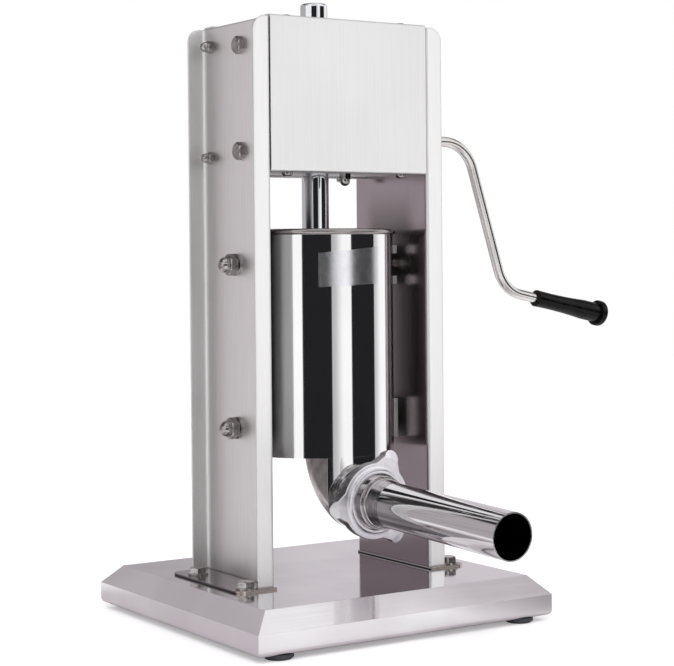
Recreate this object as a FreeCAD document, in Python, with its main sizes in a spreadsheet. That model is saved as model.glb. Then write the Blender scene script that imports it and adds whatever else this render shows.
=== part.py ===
import FreeCAD, Part
import math
import os
import re

import Sketcher

# Vertical hand-cranked sausage stuffer, 3 litre class, in millimetres.
# The origin is on the floor under the piston rod's axis. X points right, Y to the back and Z up.
# The operator's side, with the stuffing tube, is -Y. The crank is on the +X side.

V = FreeCAD.Vector

# Driving dimensions. Every cell of the sheet holds one of them.
SIZES = {
    # base tray and feet
    "foot_height": 4.8,
    "foot_diameter": 26,
    "foot_side_inset": 27.2,
    "foot_edge_inset": 14.2,
    "foot_screw_head": 9.5,
    "foot_screw_head_height": 1.8,
    "foot_recess": 2.8,
    "foot_nut_flats": 8,
    "foot_nut_height": 4,
    "tray_width": 307.4,
    "tray_depth": 293.2,
    "tray_front": 150.7,
    "skirt_height": 19.2,
    "skirt_round": 4.5,
    "bevel_drop": 16.4,
    "bevel_run": 16,
    "tray_sheet": 1.5,
    "tray_lip": 30,
    # columns and their foot plates
    "column_gap": 166.6,
    "column_height": 500,
    "column_depth": 119,
    "column_front": 60.2,
    "column_sheet": 1.5,
    "column_bend": 3.5,
    "flange_width": 17.4,
    "flange_corner": 12.5,
    "plate_sheet": 2,
    "plate_reach": 122.5,
    "plate_front": 63.5,
    "plate_back": 58.8,
    "plate_corner": 8,
    "base_bolt_x": 108.8,
    "base_bolt_front": 54,
    "base_bolt_back": 33,
    # M8 hexagon bolts and their washers
    "bolt_diameter": 8,
    "bolt_flats": 14,
    "bolt_head": 5.3,
    "bolt_nut": 6.5,
    "washer_diameter": 18.4,
    "washer_sheet": 1.6,
    # gear box
    "gearbox_height": 137.2,
    "gearbox_rise": 2,
    "cover_sheet": 1.5,
    "cover_bend": 2.5,
    "cover_lip": 18,
    "cover_gap": 0.2,
    "cover_screw_x": 61,
    "cover_screw_inset": 10.2,
    "box_plate": 3,
    "side_plate": 8,
    "side_plate_half": 50,
    "frame_screw_y": 30,
    "frame_screw_diameter": 4,
    "frame_screw_length": 12,
    "gearbox_bolt_y": -10.4,
    "gearbox_stud_y": 42,
    "gearbox_bolt_inset": 18.1,
    # M5 screws, and M6 studs with acorn nuts
    "screw_diameter": 5,
    "screw_head": 10,
    "screw_head_height": 3.7,
    "low_head_height": 1.2,
    "stud_diameter": 6,
    "acorn_flats": 10,
    "acorn_hexagon": 5.5,
    "acorn_dome": 4.6,
    "acorn_height": 11.5,
    # gear train
    "gear_module": 1.5,
    "pinion_teeth": 14,
    "reduction_teeth": 42,
    "addendum_factor": 0.8,
    "dedendum_factor": 1.1,
    "tooth_backlash": 0.2,
    "gear_face": 12,
    "gear_x": 44,
    "rack_pinion_face": 22,
    "shaft_diameter": 12,
    "shaft_reach": 124,
    "crank_shaft_rise": 36.6,
    "key_width": 4,
    "key_depth": 2.2,
    "clip_sheet": 1.2,
    "clip_diameter": 17,
    "clip_groove": 0.7,
    "bush_diameter": 18,
    "bush_flange": 22,
    "bush_flange_sheet": 1.5,
    # rack rod and its bushes
    "rod_diameter": 25,
    "rod_top_round": 3,
    "rod_rise": 22.8,
    "rack_flat": 1.8,
    "rod_bush_diameter": 32,
    "rod_bush_flange": 38,
    "rod_bush_flange_sheet": 3.5,
    "rod_bush_length": 9,
    # piston
    "piston_floor_gap": 1.5,
    "piston_clearance": 0.7,
    "piston_disc": 14,
    "piston_height": 26,
    "piston_boss": 44,
    "piston_stroke": 206,
    "piston_bevel": 1.5,
    "spigot_diameter": 14,
    "piston_nut_flats": 21,
    "piston_nut_height": 9,
    "piston_washer": 28,
    "piston_washer_sheet": 2,
    "piston_recess": 32,
    "seal_height": 6,
    "seal_depth": 4.5,
    "seal_gap": 0.3,
    "valve_x": 42,
    "valve_body": 14,
    "valve_stem": 6,
    "valve_head": 12,
    "valve_travel": 2.5,
    # barrel and its lugs
    "barrel_bore": 140,
    "barrel_wall": 1,
    "barrel_height": 204,
    "barrel_rise": 111,
    "barrel_floor_sheet": 1.5,
    "bead_radius": 2.6,
    "lug_half_depth": 19,
    "lug_half_height": 18.2,
    "lug_reach": 78,
    "lug_mouth": 21,
    "upper_lug_drop": 1.45,
    "lower_lug_rise": 1.45,
    "lower_pin_rise": 25.5,
    "upper_pin_drop": 31.7,
    "roller_diameter": 17.4,
    "pin_diameter": 10,
    "pin_collar": 14,
    "pin_washer": 20,
    "pin_washer_sheet": 1.8,
    "cap_flats": 17,
    "cap_hexagon": 8,
    "cap_dome": 7.4,
    "cap_height": 16.2,
    # spout and outlet
    "chute_half": 30.3,
    "chute_sheet": 1.5,
    "chute_back": 6,
    "chute_front": 60,
    "chute_mouth_run": 9,
    "chute_toe": 3,
    "chute_curve": 80,
    "chute_round": 28,
    "outlet_drop": 35.6,
    "outlet_droop": 2.1,
    "collar_radius": 28,
    "collar_wall": 3,
    "collar_length": 29.9,
    "collar_root": 1.5,
    "collar_flare": 2,
    "collar_flare_start": 4,
    "collar_flare_end": 15,
    "thread_start": 20.5,
    "thread_pitch": 3,
    "thread_depth": 1.2,
    # nozzle nut, gasket and stuffing tube
    "nut_start": 26.4,
    "nut_length": 10,
    "nut_radius": 33.8,
    "nut_lip": 2.6,
    "nut_lip_bore": 25.2,
    "nut_hub_radius": 31,
    "nut_hub_tip": 26.6,
    "nut_hub_height": 3.6,
    "nut_hub_curve": 4,
    "wing_angle": 66.5,
    "wing_reach": 47.2,
    "wing_front_reach": 39.7,
    "wing_back_reach": 41.5,
    "wing_ridge": 3.4,
    "wing_tip": 7.5,
    "wing_root": 16,
    "wing_fillet": 8,
    "nut_edge": 1,
    "gasket_sheet": 1.2,
    "tube_flange_radius": 27.4,
    "tube_flange_sheet": 2.5,
    "tube_boss_radius": 24,
    "tube_boss_length": 13.2,
    "tube_step_radius": 22.3,
    "tube_step_length": 3.5,
    "tube_neck": 14.5,
    "tube_diameter": 40,
    "tube_wall": 1,
    "tube_end": 227.6,
    # crank
    "hub_start": 103,
    "hub_length": 32,
    "hub_diameter": 24,
    "hub_socket": 22,
    "arm_diameter": 10,
    "arm_corner_x": 189.3,
    "arm_spread": 46.5,
    "arm_throw": 147.4,
    "arm_bend": 36,
    "grip_tilt": 11.8,
    "grip_start": 41.5,
    "grip_length": 91,
    "grip_root": 17,
    "grip_waist": 20,
    "grip_end_diameter": 26.5,
    "grip_end_length": 8.5,
    "grip_counterbore": 16,
    "grip_screw_diameter": 5,
    "grip_screw_head": 9.5,
    "grip_screw_length": 14,
    "thumb_diameter": 6,
    "thumb_knob": 16,
    "thumb_knob_length": 9,
    # clearances
    "running_gap": 0.05,
    "screw_gap": 0.1,
    "bolt_gap": 0.5,
    "seat_gap": 0.1,
    "soft_gap": 0.3,
}

# Sizes worked out from the driving ones.
DERIVED = {
    "skirt_top": "foot_height + skirt_height",
    "tray_top": "skirt_top + bevel_drop",
    "tray_under": "tray_top - tray_sheet",
    "tray_back": "tray_depth - tray_front",
    "bevel_angle": "atan(bevel_run / bevel_drop)",
    "foot_x": "tray_width / 2 - foot_side_inset",
    "foot_front": "tray_front - foot_edge_inset",
    "foot_back": "tray_back - foot_edge_inset",
    "plate_top": "tray_top + plate_sheet",
    "column_top": "tray_top + column_height",
    "web_in": "column_gap / 2",
    "web_out": "web_in + column_sheet",
    "column_back": "column_depth - column_front",
    "box_top": "column_top + gearbox_rise",
    "box_bottom": "box_top - gearbox_height",
    "floor_bottom": "box_bottom + cover_sheet",
    "floor_top": "floor_bottom + box_plate",
    "ceiling_top": "box_top - cover_sheet",
    "ceiling_bottom": "ceiling_top - box_plate",
    "plate_in": "web_in - side_plate",
    "frame_screw_x": "plate_in + side_plate * 0.47",
    "frame_screw_head": "frame_screw_diameter * 0.92",
    "frame_screw_sink": "frame_screw_diameter * 0.42",
    "gearbox_bolt_low": "floor_top + gearbox_bolt_inset - 2.5",
    "gearbox_bolt_high": "ceiling_bottom - gearbox_bolt_inset",
    "gearbox_stud_low": "gearbox_bolt_low - 4",
    "gearbox_stud_high": "gearbox_bolt_high + 3",
    "pinion_pitch": "gear_module * pinion_teeth / 2",
    "reduction_pitch": "gear_module * reduction_teeth / 2",
    "tooth_addendum": "gear_module * addendum_factor",
    "tooth_dedendum": "gear_module * dedendum_factor",
    "tooth_pitch": "pi * gear_module",
    "rod_radius": "rod_diameter / 2",
    "shaft_radius": "shaft_diameter / 2",
    "rack_tip": "rod_radius - rack_flat",
    "rack_pitch_line": "rack_tip - tooth_addendum",
    "shaft_y": "rack_pitch_line + pinion_pitch",
    "crank_z": "box_bottom + crank_shaft_rise",
    "drive_z": "crank_z + pinion_pitch + reduction_pitch",
    "clip_x": "plate_in - bush_flange_sheet - running_gap - clip_sheet",
    "rod_top": "column_top + rod_rise",
    "barrel_radius": "barrel_bore / 2 + barrel_wall",
    "barrel_bottom": "tray_top + barrel_rise",
    "barrel_top": "barrel_bottom + barrel_height",
    "barrel_floor_top": "barrel_bottom + barrel_floor_sheet",
    "piston_bottom": "barrel_floor_top + piston_floor_gap",
    "piston_disc_top": "piston_bottom + piston_disc",
    "piston_top": "piston_bottom + piston_height",
    "piston_radius": "barrel_bore / 2 - piston_clearance",
    "piston_nut_z": "piston_bottom + 1.5",
    "piston_washer_z": "piston_nut_z + piston_nut_height",
    "piston_web_z": "piston_washer_z + piston_washer_sheet",
    "seal_z": "piston_bottom + (piston_disc - seal_height) / 2",
    "lower_pin_z": "barrel_bottom + lower_pin_rise",
    "upper_pin_z": "barrel_top - upper_pin_drop",
    "roller_in": "barrel_radius + 0.6",
    "outlet_z": "barrel_bottom - outlet_drop",
    "nut_end": "nut_start + nut_length",
    "lip_start": "nut_end - nut_lip",
    "tube_seat": "collar_length + gasket_sheet + seat_gap",
    "arm_tilt_z": "crank_z - arm_throw",
    "grip_x": "arm_corner_x + arm_spread + grip_start * cos(grip_tilt)",
    "grip_z": "arm_tilt_z - grip_start * sin(grip_tilt)",
}

doc = FreeCAD.newDocument("SausageStuffer")
sheet = doc.addObject("Spreadsheet::Sheet", "Sizes")
for row, (alias, size) in enumerate(SIZES.items(), start=1):
    sheet.set("A%d" % row, alias.replace("_", " "))
    sheet.set("B%d" % row, str(size))
    sheet.setAlias("B%d" % row, alias)
doc.recompute()

nodes = []


def bind(formula):
    """Turns a formula in plain size names into an expression on the sheet."""
    def swap(match):
        name = match.group(0)
        if name in DERIVED:
            return "(" + bind(DERIVED[name]) + ")"
        return "Sizes." + name if name in SIZES else name
    return re.sub(r"[a-z][a-z_0-9]*", swap, formula)


def value(formula):
    """The number that a formula gives now."""
    return float(sheet.evalExpression(bind(formula)))


def node(label, made):
    """Marks an object as a sub-part of its own."""
    made.Label = label
    nodes.append(made)
    return made


# Directions that an object's own Z axis can be turned to.
TURNS = {
    "z": FreeCAD.Rotation(V(1, 0, 0), 0),
    "-z": FreeCAD.Rotation(V(1, 0, 0), 180),
    "x": FreeCAD.Rotation(V(0, 1, 0), 90),
    "-x": FreeCAD.Rotation(V(0, 1, 0), -90),
    "-y": FreeCAD.Rotation(V(1, 0, 0), 90),
}


def place(made, at, axis="z"):
    """Puts an object's origin at three formulas and its own Z along an axis."""
    made.Placement = FreeCAD.Placement(V(), TURNS[axis])
    for key, formula in zip("xyz", at):
        made.setExpression("Placement.Base." + key, bind(formula))
    return made


def place_on_outlet(made):
    """Puts an object on the spout's drooping axis, its own Z pointing out to the operator."""
    made.Placement = FreeCAD.Placement(V(), FreeCAD.Rotation(V(1, 0, 0), 90))
    made.setExpression("Placement.Rotation.Angle", bind("90 + outlet_droop"))
    made.setExpression("Placement.Base.y", bind("-chute_front"))
    made.setExpression("Placement.Base.z", bind("outlet_z"))
    return made


def shift_on_outlet(made, step):
    """Moves an object that is on the outlet's axis a step out along it."""
    made.setExpression("Placement.Base.y", bind("-chute_front - (%s) * cos(outlet_droop)" % step))
    made.setExpression("Placement.Base.z", bind("outlet_z - (%s) * sin(outlet_droop)" % step))
    return made


# Plain solids
def cylinder(name, radius, length, at, axis="z"):
    made = doc.addObject("Part::Cylinder", name)
    made.setExpression("Radius", bind(radius))
    made.setExpression("Height", bind(length))
    return place(made, at, axis)


def block(name, size, at):
    made = doc.addObject("Part::Box", name)
    for key, formula in zip(("Length", "Width", "Height"), size):
        made.setExpression(key, bind(formula))
    return place(made, at)


def fuse(name, parts):
    made = doc.addObject("Part::MultiFuse", name)
    made.Shapes = parts
    return made


def cut(name, base, tools):
    made = doc.addObject("Part::Cut", name)
    made.Base = base
    made.Tool = tools[0] if len(tools) == 1 else fuse(name + "_tools", tools)
    return made


def group(name, parts):
    made = doc.addObject("Part::Compound", name)
    made.Links = parts
    return made


# Sketched bodies
def body(name):
    return doc.addObject("PartDesign::Body", name)


def sketch(owner, plane, level="0"):
    """A sketch on one of the body's own origin planes, moved to a level on the third axis."""
    made = owner.newObject("Sketcher::SketchObject", owner.Name + "_sketch")
    support = [f for f in owner.Origin.OriginFeatures if f.Role == plane + "_Plane"][0]
    made.AttachmentSupport = [(support, "")]
    made.MapMode = "FlatFace"
    sign = "-" if plane == "XZ" else ""
    made.setExpression("AttachmentOffset.Base.z", bind("%s(%s)" % (sign, level)))
    return made


def outline(made, corners):
    """Draws a closed outline. A corner is (u, v), or (u, v, radius, turn) where an arc leads to
    it, with turn 1 to the left and -1 to the right."""
    points = [V(value(c[0]), value(c[1]), 0) for c in corners]
    first = made.GeometryCount
    heads = []
    for index, start in enumerate(points):
        goal = (index + 1) % len(points)
        end = points[goal]
        if len(corners[goal]) == 2:
            made.addGeometry(Part.LineSegment(start, end))
            heads.append((1, 2))
            continue
        radius, turn = value(corners[goal][2]), corners[goal][3]
        chord = end - start
        rise = math.sqrt(max(radius**2 - chord.Length**2 / 4, 0))
        side = V(-chord.y, chord.x, 0).normalize() * (rise * turn)
        centre = (start + end) / 2 + side
        low, high = (start, end) if turn > 0 else (end, start)
        angles = [math.atan2(p.y - centre.y, p.x - centre.x) for p in (low, high)]
        if angles[1] < angles[0]:
            angles[1] += 2 * math.pi
        ring = Part.Circle(centre, V(0, 0, 1), radius)
        made.addGeometry(Part.ArcOfCircle(ring, *angles))
        heads.append((1, 2) if turn > 0 else (2, 1))
        rule = made.addConstraint(Sketcher.Constraint("Radius", first + index, radius))
        made.setExpression("Constraints[%d]" % rule, bind(corners[goal][2]))
    count = len(points)
    for index in range(count):
        goal = (index + 1) % count
        made.addConstraint(Sketcher.Constraint(
            "Coincident", first + index, heads[index][1], first + goal, heads[goal][0]))
    for index, corner in enumerate(corners):
        for kind, formula, number in (("DistanceX", corner[0], points[index].x),
                                      ("DistanceY", corner[1], points[index].y)):
            rule = made.addConstraint(Sketcher.Constraint(
                kind, first + index, heads[index][0], number))
            made.setExpression("Constraints[%d]" % rule, bind(formula))
    return made


def rings(made, spots):
    """Draws full circles, each given as (u, v, radius)."""
    for u, v, radius in spots:
        centre = V(value(u), value(v), 0)
        index = made.addGeometry(Part.Circle(centre, V(0, 0, 1), value(radius)))
        for kind, formula, number in (("DistanceX", u, centre.x), ("DistanceY", v, centre.y)):
            rule = made.addConstraint(Sketcher.Constraint(kind, index, 3, number))
            made.setExpression("Constraints[%d]" % rule, bind(formula))
        rule = made.addConstraint(Sketcher.Constraint("Radius", index, value(radius)))
        made.setExpression("Constraints[%d]" % rule, bind(radius))
    return made


def pad(owner, profile, length, both=False):
    made = owner.newObject("PartDesign::Pad", owner.Name + "_pad")
    made.Profile = profile
    made.SideType = "Symmetric" if both else "One side"
    made.setExpression("Length", bind(length))
    return made


def pocket(owner, profile, length, up=False, both=False):
    """Cuts a profile out, down the sketch's normal or up along it, and checks that it bites."""
    doc.recompute()
    before = owner.Shape.Volume
    made = owner.newObject("PartDesign::Pocket", owner.Name + "_pocket")
    made.Profile = profile
    made.SideType = "Symmetric" if both else "One side"
    made.Reversed = up
    made.setExpression("Length", bind(length))
    doc.recompute()
    if owner.Shape.Volume >= before:
        raise RuntimeError(owner.Name + ": a pocket cuts nothing")
    return made


def soften(owner, radius, wanted):
    """Rounds the edges of the body for which wanted(edge) holds."""
    doc.recompute()
    tip = owner.Tip
    names = ["Edge%d" % (i + 1) for i, edge in enumerate(tip.Shape.Edges) if wanted(edge)]
    made = owner.newObject("PartDesign::Fillet", owner.Name + "_fillet")
    made.Base = (tip, names)
    made.setExpression("Radius", bind(radius))
    return made


def turned(name, corners, at=("0", "0", "0"), axis="z"):
    """A body of revolution: corners are (radius, height) formulas about its own Z axis."""
    owner = body(name)
    profile = outline(sketch(owner, "XZ"), corners)
    made = owner.newObject("PartDesign::Revolution", name + "_turn")
    made.Profile = profile
    made.ReferenceAxis = (profile, ["V_Axis"])
    made.Angle = 360
    return place(owner, at, axis)


def ring(name, bore, outside, length, at=("0", "0", "0"), axis="z"):
    corners = [(bore, "0"), (outside, "0"), (outside, length), (bore, length)]
    return turned(name, corners, at, axis)


def hexagon(name, flats, height, at=("0", "0", "0"), axis="z"):
    """A hexagonal head with its upper corners turned off."""
    prism = doc.addObject("Part::Prism", name + "_prism")
    prism.Polygon = 6
    prism.setExpression("Circumradius", bind("(%s) / sqrt(3)" % flats))
    prism.setExpression("Height", bind(height))
    place(prism, at, axis)
    corner = "(%s) * 0.6" % flats
    face = "(%s) * 0.475" % flats
    shoulder = "(%s) - (%s) * 0.07" % (height, flats)
    blank = turned(name + "_blank", [("0", "0"), (corner, "0"), (corner, shoulder),
                                     (face, height), ("0", height)], at, axis)
    made = doc.addObject("Part::MultiCommon", name + "_head")
    made.Shapes = [prism, blank]
    return made


def opposite(axis):
    return axis[1:] if axis[0] == "-" else "-" + axis


def hex_bolt(name, length, at, axis):
    """An M8 bolt: the seat of its head is at the point and the head lies along the axis."""
    head = hexagon(name, "bolt_flats", "bolt_head", at, axis)
    shank = cylinder(name + "_shank", "bolt_diameter / 2", length, at, opposite(axis))
    return fuse(name, [head, shank])


def domed_nut(name, flats, hexagon_height, dome, height, bore, at, axis):
    """An acorn nut: a hexagon, a round neck and a dome, with a blind bore from its seat."""
    head = hexagon(name, flats, hexagon_height, at, axis)
    neck = "(%s) - (%s)" % (height, dome)
    cap = turned(name + "_cap", [("0", "0"), (dome, "0"), (dome, neck), ("0", height, dome, 1)],
                 at, axis)
    whole = fuse(name + "_whole", [head, cap])
    return cut(name, whole, [cylinder(name + "_bore", bore, "(%s) * 0.75" % height, at, axis)])


def acorn_nut(name, at, axis):
    return domed_nut(name, "acorn_flats", "acorn_hexagon", "acorn_dome", "acorn_height",
                     "stud_diameter / 2 + screw_gap", at, axis)


def cap_nut(name, at, axis):
    return domed_nut(name, "cap_flats", "cap_hexagon", "cap_dome", "cap_height",
                     "pin_diameter / 2 + screw_gap", at, axis)


def pan_screw(name, diameter, head, head_height, length, at, axis):
    """A pan head screw: the seat of its head is at the point and the head lies along the axis."""
    half = "(%s) / 2" % head
    shank = "(%s) / 2" % diameter
    corners = [("0", "-(%s)" % length), (shank, "-(%s)" % length), (shank, "0"), (half, "0"),
               (half, "(%s) * 0.4" % head_height),
               ("(%s) * 0.28" % head, head_height, "(%s) * 0.28" % head, 1), ("0", head_height)]
    return turned(name, corners, at, axis)


def sunk_screw(name, at, axis):
    """A countersunk screw: the flat face of its head is at the point, its shank on the axis."""
    shank = "frame_screw_diameter / 2"
    corners = [("0", "0"), ("frame_screw_head", "0"), (shank, "frame_screw_sink"),
               (shank, "frame_screw_length"), ("0", "frame_screw_length")]
    return turned(name, corners, at, axis)


def sunk_hole(name, at, axis):
    """The countersunk hole that clears such a screw in a plate."""
    shank, head = "frame_screw_diameter / 2 + screw_gap", "frame_screw_head + screw_gap"
    corners = [("0", "-1"), (head, "-1"), (head, "0"), (shank, "frame_screw_sink"),
               (shank, "box_plate + 1"), ("0", "box_plate + 1")]
    return turned(name, corners, at, axis)


def channel(made, face, side, depth, low, high, sheet_name, bend):
    """The outline of a folded channel: its web's outer face is at u = face between v = low and
    v = high, and its two flanges run to the given side of it."""
    def out(step):
        return "%s %s (%s)" % (face, "+" if side > 0 else "-", step)
    inner = "%s - %s" % (bend, sheet_name)
    return outline(made, [
        (out(depth), low),
        (out(bend), low),
        (face, "%s + %s" % (low, bend), bend, -side),
        (face, "%s - %s" % (high, bend)),
        (out(bend), high, bend, -side),
        (out(depth), high),
        (out(depth), "%s - %s" % (high, sheet_name)),
        (out(bend), "%s - %s" % (high, sheet_name)),
        (out(sheet_name), "%s - %s" % (high, bend), inner, side),
        (out(sheet_name), "%s + %s" % (low, bend)),
        (out(bend), "%s + %s" % (low, sheet_name), inner, side),
        (out(depth), "%s + %s" % (low, sheet_name)),
    ])


SIDES = (("left", -1), ("right", 1))


def signed(side, formula):
    """A formula for the left (-1) or the right (1) side."""
    return "-(%s)" % formula if side < 0 else "(%s)" % formula


BASE_BOLTS = [(signed(side, "base_bolt_x"), y) for _, side in SIDES
              for y in ("-base_bolt_front", "base_bolt_back")]
FEET = [(signed(side, "foot_x"), y) for _, side in SIDES for y in ("-foot_front", "foot_back")]


# Base tray
def tray_solid(name, inset):
    """The tray's outer form, or the hollow in it when it is inset by the sheet."""
    low_shift = "(%s) * tan(bevel_angle / 2)" % inset
    high_shift = "(%s) * tan(45 deg - bevel_angle / 2)" % inset
    bottom = "foot_height + %s" % inset
    fold = "skirt_top - %s" % low_shift
    skirt = block(name + "_skirt",
                  ("tray_width - 2 * (%s)" % inset, "tray_depth - 2 * (%s)" % inset,
                   "%s - (%s)" % (fold, bottom)),
                  ("-tray_width / 2 + %s" % inset, "-tray_front + %s" % inset, bottom))
    bevel = doc.addObject("Part::Wedge", name + "_bevel")
    run = "bevel_run + %s" % high_shift
    for key, formula in (("Xmin", "-tray_width / 2 + %s" % inset),
                         ("Xmax", "tray_width / 2 - %s" % inset),
                         ("Zmin", "-tray_back + %s" % inset),
                         ("Zmax", "tray_front - %s" % inset),
                         ("X2min", "-tray_width / 2 + %s" % run),
                         ("X2max", "tray_width / 2 - (%s)" % run),
                         ("Z2min", "-tray_back + %s" % run),
                         ("Z2max", "tray_front - (%s)" % run),
                         ("Ymin", fold),
                         ("Ymax", "tray_top - %s" % inset)):
        bevel.setExpression(key, bind(formula))
    bevel.Placement = FreeCAD.Placement(V(), TURNS["-y"])
    whole = fuse(name + "_whole", [skirt, bevel])
    doc.recompute()
    low = value(bottom)
    radius = value("skirt_round - %s" % inset)
    rounded = doc.addObject("Part::Fillet", name)
    rounded.Base = whole
    rounded.Edges = [(i + 1, radius, radius) for i, edge in enumerate(whole.Shape.Edges)
                     if all(abs(p.Point.z - low) < 1e-6 for p in edge.Vertexes)]
    return rounded


def base_tray():
    tools = [tray_solid("tray_hollow", "tray_sheet"),
             block("tray_opening", ("tray_width - 2 * tray_lip", "tray_depth - 2 * tray_lip", "20"),
                   ("-tray_width / 2 + tray_lip", "-tray_front + tray_lip", "foot_height - 5"))]
    for index, (x, y) in enumerate(BASE_BOLTS):
        tools.append(cylinder("tray_bolt_hole_%d" % index, "bolt_diameter / 2 + bolt_gap", "20",
                              (x, y, "tray_top - 15")))
    for index, (x, y) in enumerate(FEET):
        tools.append(cylinder("tray_foot_hole_%d" % index, "screw_diameter / 2 + screw_gap",
                              "tray_sheet + 2", (x, y, "foot_height - 1")))
    node("base_tray", cut("base_tray", tray_solid("tray_outside", "0"), tools))


def feet():
    pads, screws, nuts = [], [], []
    for index, (x, y) in enumerate(FEET):
        corners = [("screw_diameter / 2 + screw_gap", "foot_height"),
                   ("foot_diameter / 2", "foot_height"),
                   ("foot_diameter / 2", "foot_height * 0.35"),
                   ("foot_diameter / 2 - 2", "0"),
                   ("foot_screw_head / 2 + 0.8", "0"),
                   ("foot_screw_head / 2 + 0.8", "foot_recess"),
                   ("screw_diameter / 2 + screw_gap", "foot_recess")]
        pads.append(turned("foot_%d" % index, corners, (x, y, "0")))
        screws.append(pan_screw("foot_screw_%d" % index, "screw_diameter", "foot_screw_head",
                                "foot_screw_head_height",
                                "foot_height - foot_recess + tray_sheet + 1.5 * foot_nut_height",
                                (x, y, "foot_recess"), "-z"))
        nut = hexagon("foot_nut_%d" % index, "foot_nut_flats", "foot_nut_height",
                      (x, y, "foot_height + tray_sheet"))
        bore = cylinder("foot_nut_bore_%d" % index, "screw_diameter / 2 + screw_gap",
                        "1.5 * foot_nut_height",
                        (x, y, "foot_height + tray_sheet - 0.25 * foot_nut_height"))
        nuts.append(cut("foot_nut_cut_%d" % index, nut, [bore]))
    node("rubber_feet", group("rubber_feet", pads))
    node("foot_screws", group("foot_screws", screws))
    node("foot_nuts", group("foot_nuts", nuts))


# Columns
def gearbox_fixings():
    """The four fixings of a gear box side plate, as (y, z, thread diameter)."""
    return [("gearbox_bolt_y", "gearbox_bolt_low", "bolt_diameter"),
            ("gearbox_bolt_y", "gearbox_bolt_high", "bolt_diameter"),
            ("gearbox_stud_y", "gearbox_stud_low", "stud_diameter"),
            ("gearbox_stud_y", "gearbox_stud_high", "stud_diameter")]


def column(name, side):
    owner = body(name)
    section = channel(sketch(owner, "XY", "plate_top"), signed(side, "web_in"), side,
                      "flange_width", "-column_front", "column_back", "column_sheet",
                      "column_bend")
    pad(owner, section, "column_top - plate_top")
    tip = value("web_in + flange_width")
    top = value("column_top")
    soften(owner, "flange_corner", lambda edge: all(
        abs(abs(p.X) - tip) < 1e-6 and abs(p.Z - top) < 1e-6 for p in edge.Vertexes))
    holes = [(y, z, "(%s) / 2 + screw_gap" % size) for y, z, size in gearbox_fixings()]
    holes += [("0", z, "pin_diameter / 2 + screw_gap") for z in ("lower_pin_z", "upper_pin_z")]
    if side > 0:
        holes += [("shaft_y", z, "bush_diameter / 2 + screw_gap") for z in ("crank_z", "drive_z")]
    drilled = rings(sketch(owner, "YZ", signed(side, "web_in")), holes)
    pocket(owner, drilled, "column_sheet", up=side > 0)
    node(name, owner)


def foot_plate(name, side):
    """The plate under a column, whose outer corners are rounded."""
    owner = body(name)
    far, near = signed(side, "plate_reach"), signed(side, "web_in")
    inner = signed(side, "plate_reach - plate_corner")
    profile = outline(sketch(owner, "XY", "tray_top"), [
        (near, "-plate_front"),
        (inner, "-plate_front"),
        (far, "-plate_front + plate_corner", "plate_corner", side),
        (far, "plate_back - plate_corner"),
        (inner, "plate_back", "plate_corner", side),
        (near, "plate_back"),
    ])
    pad(owner, profile, "plate_sheet")
    holes = [(signed(side, "base_bolt_x"), y, "bolt_diameter / 2 + bolt_gap")
             for y in ("-base_bolt_front", "base_bolt_back")]
    pocket(owner, rings(sketch(owner, "XY", "plate_top"), holes), "plate_sheet")
    return owner


def base_bolts():
    bolts, washers, nuts = [], [], []
    for index, (x, y) in enumerate(BASE_BOLTS):
        seat = (x, y, "plate_top + washer_sheet")
        length = "washer_sheet + plate_sheet + tray_sheet + bolt_nut + 2"
        bolts.append(hex_bolt("base_bolt_%d" % index, length, seat, "z"))
        washers.append(ring("base_washer_%d" % index, "bolt_diameter / 2 + screw_gap",
                            "washer_diameter / 2", "washer_sheet", (x, y, "plate_top")))
        nut = hexagon("base_nut_%d" % index, "bolt_flats", "bolt_nut", (x, y, "tray_under"), "-z")
        bore = cylinder("base_nut_bore_%d" % index, "bolt_diameter / 2 + screw_gap",
                        "bolt_nut + 2", (x, y, "tray_under + 1"), "-z")
        nuts.append(cut("base_nut_cut_%d" % index, nut, [bore]))
    node("base_bolts", group("base_bolts", bolts))
    node("base_bolt_washers", group("base_bolt_washers", washers))
    node("base_bolt_nuts", group("base_bolt_nuts", nuts))


# Gear box
COVER_SCREWS = [(x, y) for x in ("-cover_screw_x", "cover_screw_x")
                for y in ("-column_front + cover_screw_inset", "column_back - cover_screw_inset")]
COVER_BOLT = ("0", "-column_front + cover_screw_inset")


def gearbox_cover(name, face, side, has_bolt):
    """A folded cover: side 1 is the front one, whose lips run back from its face."""
    owner = body(name)
    section = channel(sketch(owner, "YZ"), face, side, "cover_lip", "box_bottom", "box_top",
                      "cover_sheet", "cover_bend")
    pad(owner, section, "2 * (web_in - cover_gap)", both=True)
    row = "%s %s cover_screw_inset" % (face, "+" if side > 0 else "-")
    holes = [(x, row, "screw_diameter / 2 + screw_gap") for x in ("-cover_screw_x", "cover_screw_x")]
    pocket(owner, rings(sketch(owner, "XY", "box_top"), holes), "cover_sheet")
    if has_bolt:
        holes.append(("0", row, "stud_diameter / 2 + screw_gap"))
    pocket(owner, rings(sketch(owner, "XY", "floor_bottom"), holes), "cover_sheet")
    node(name, owner)


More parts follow.
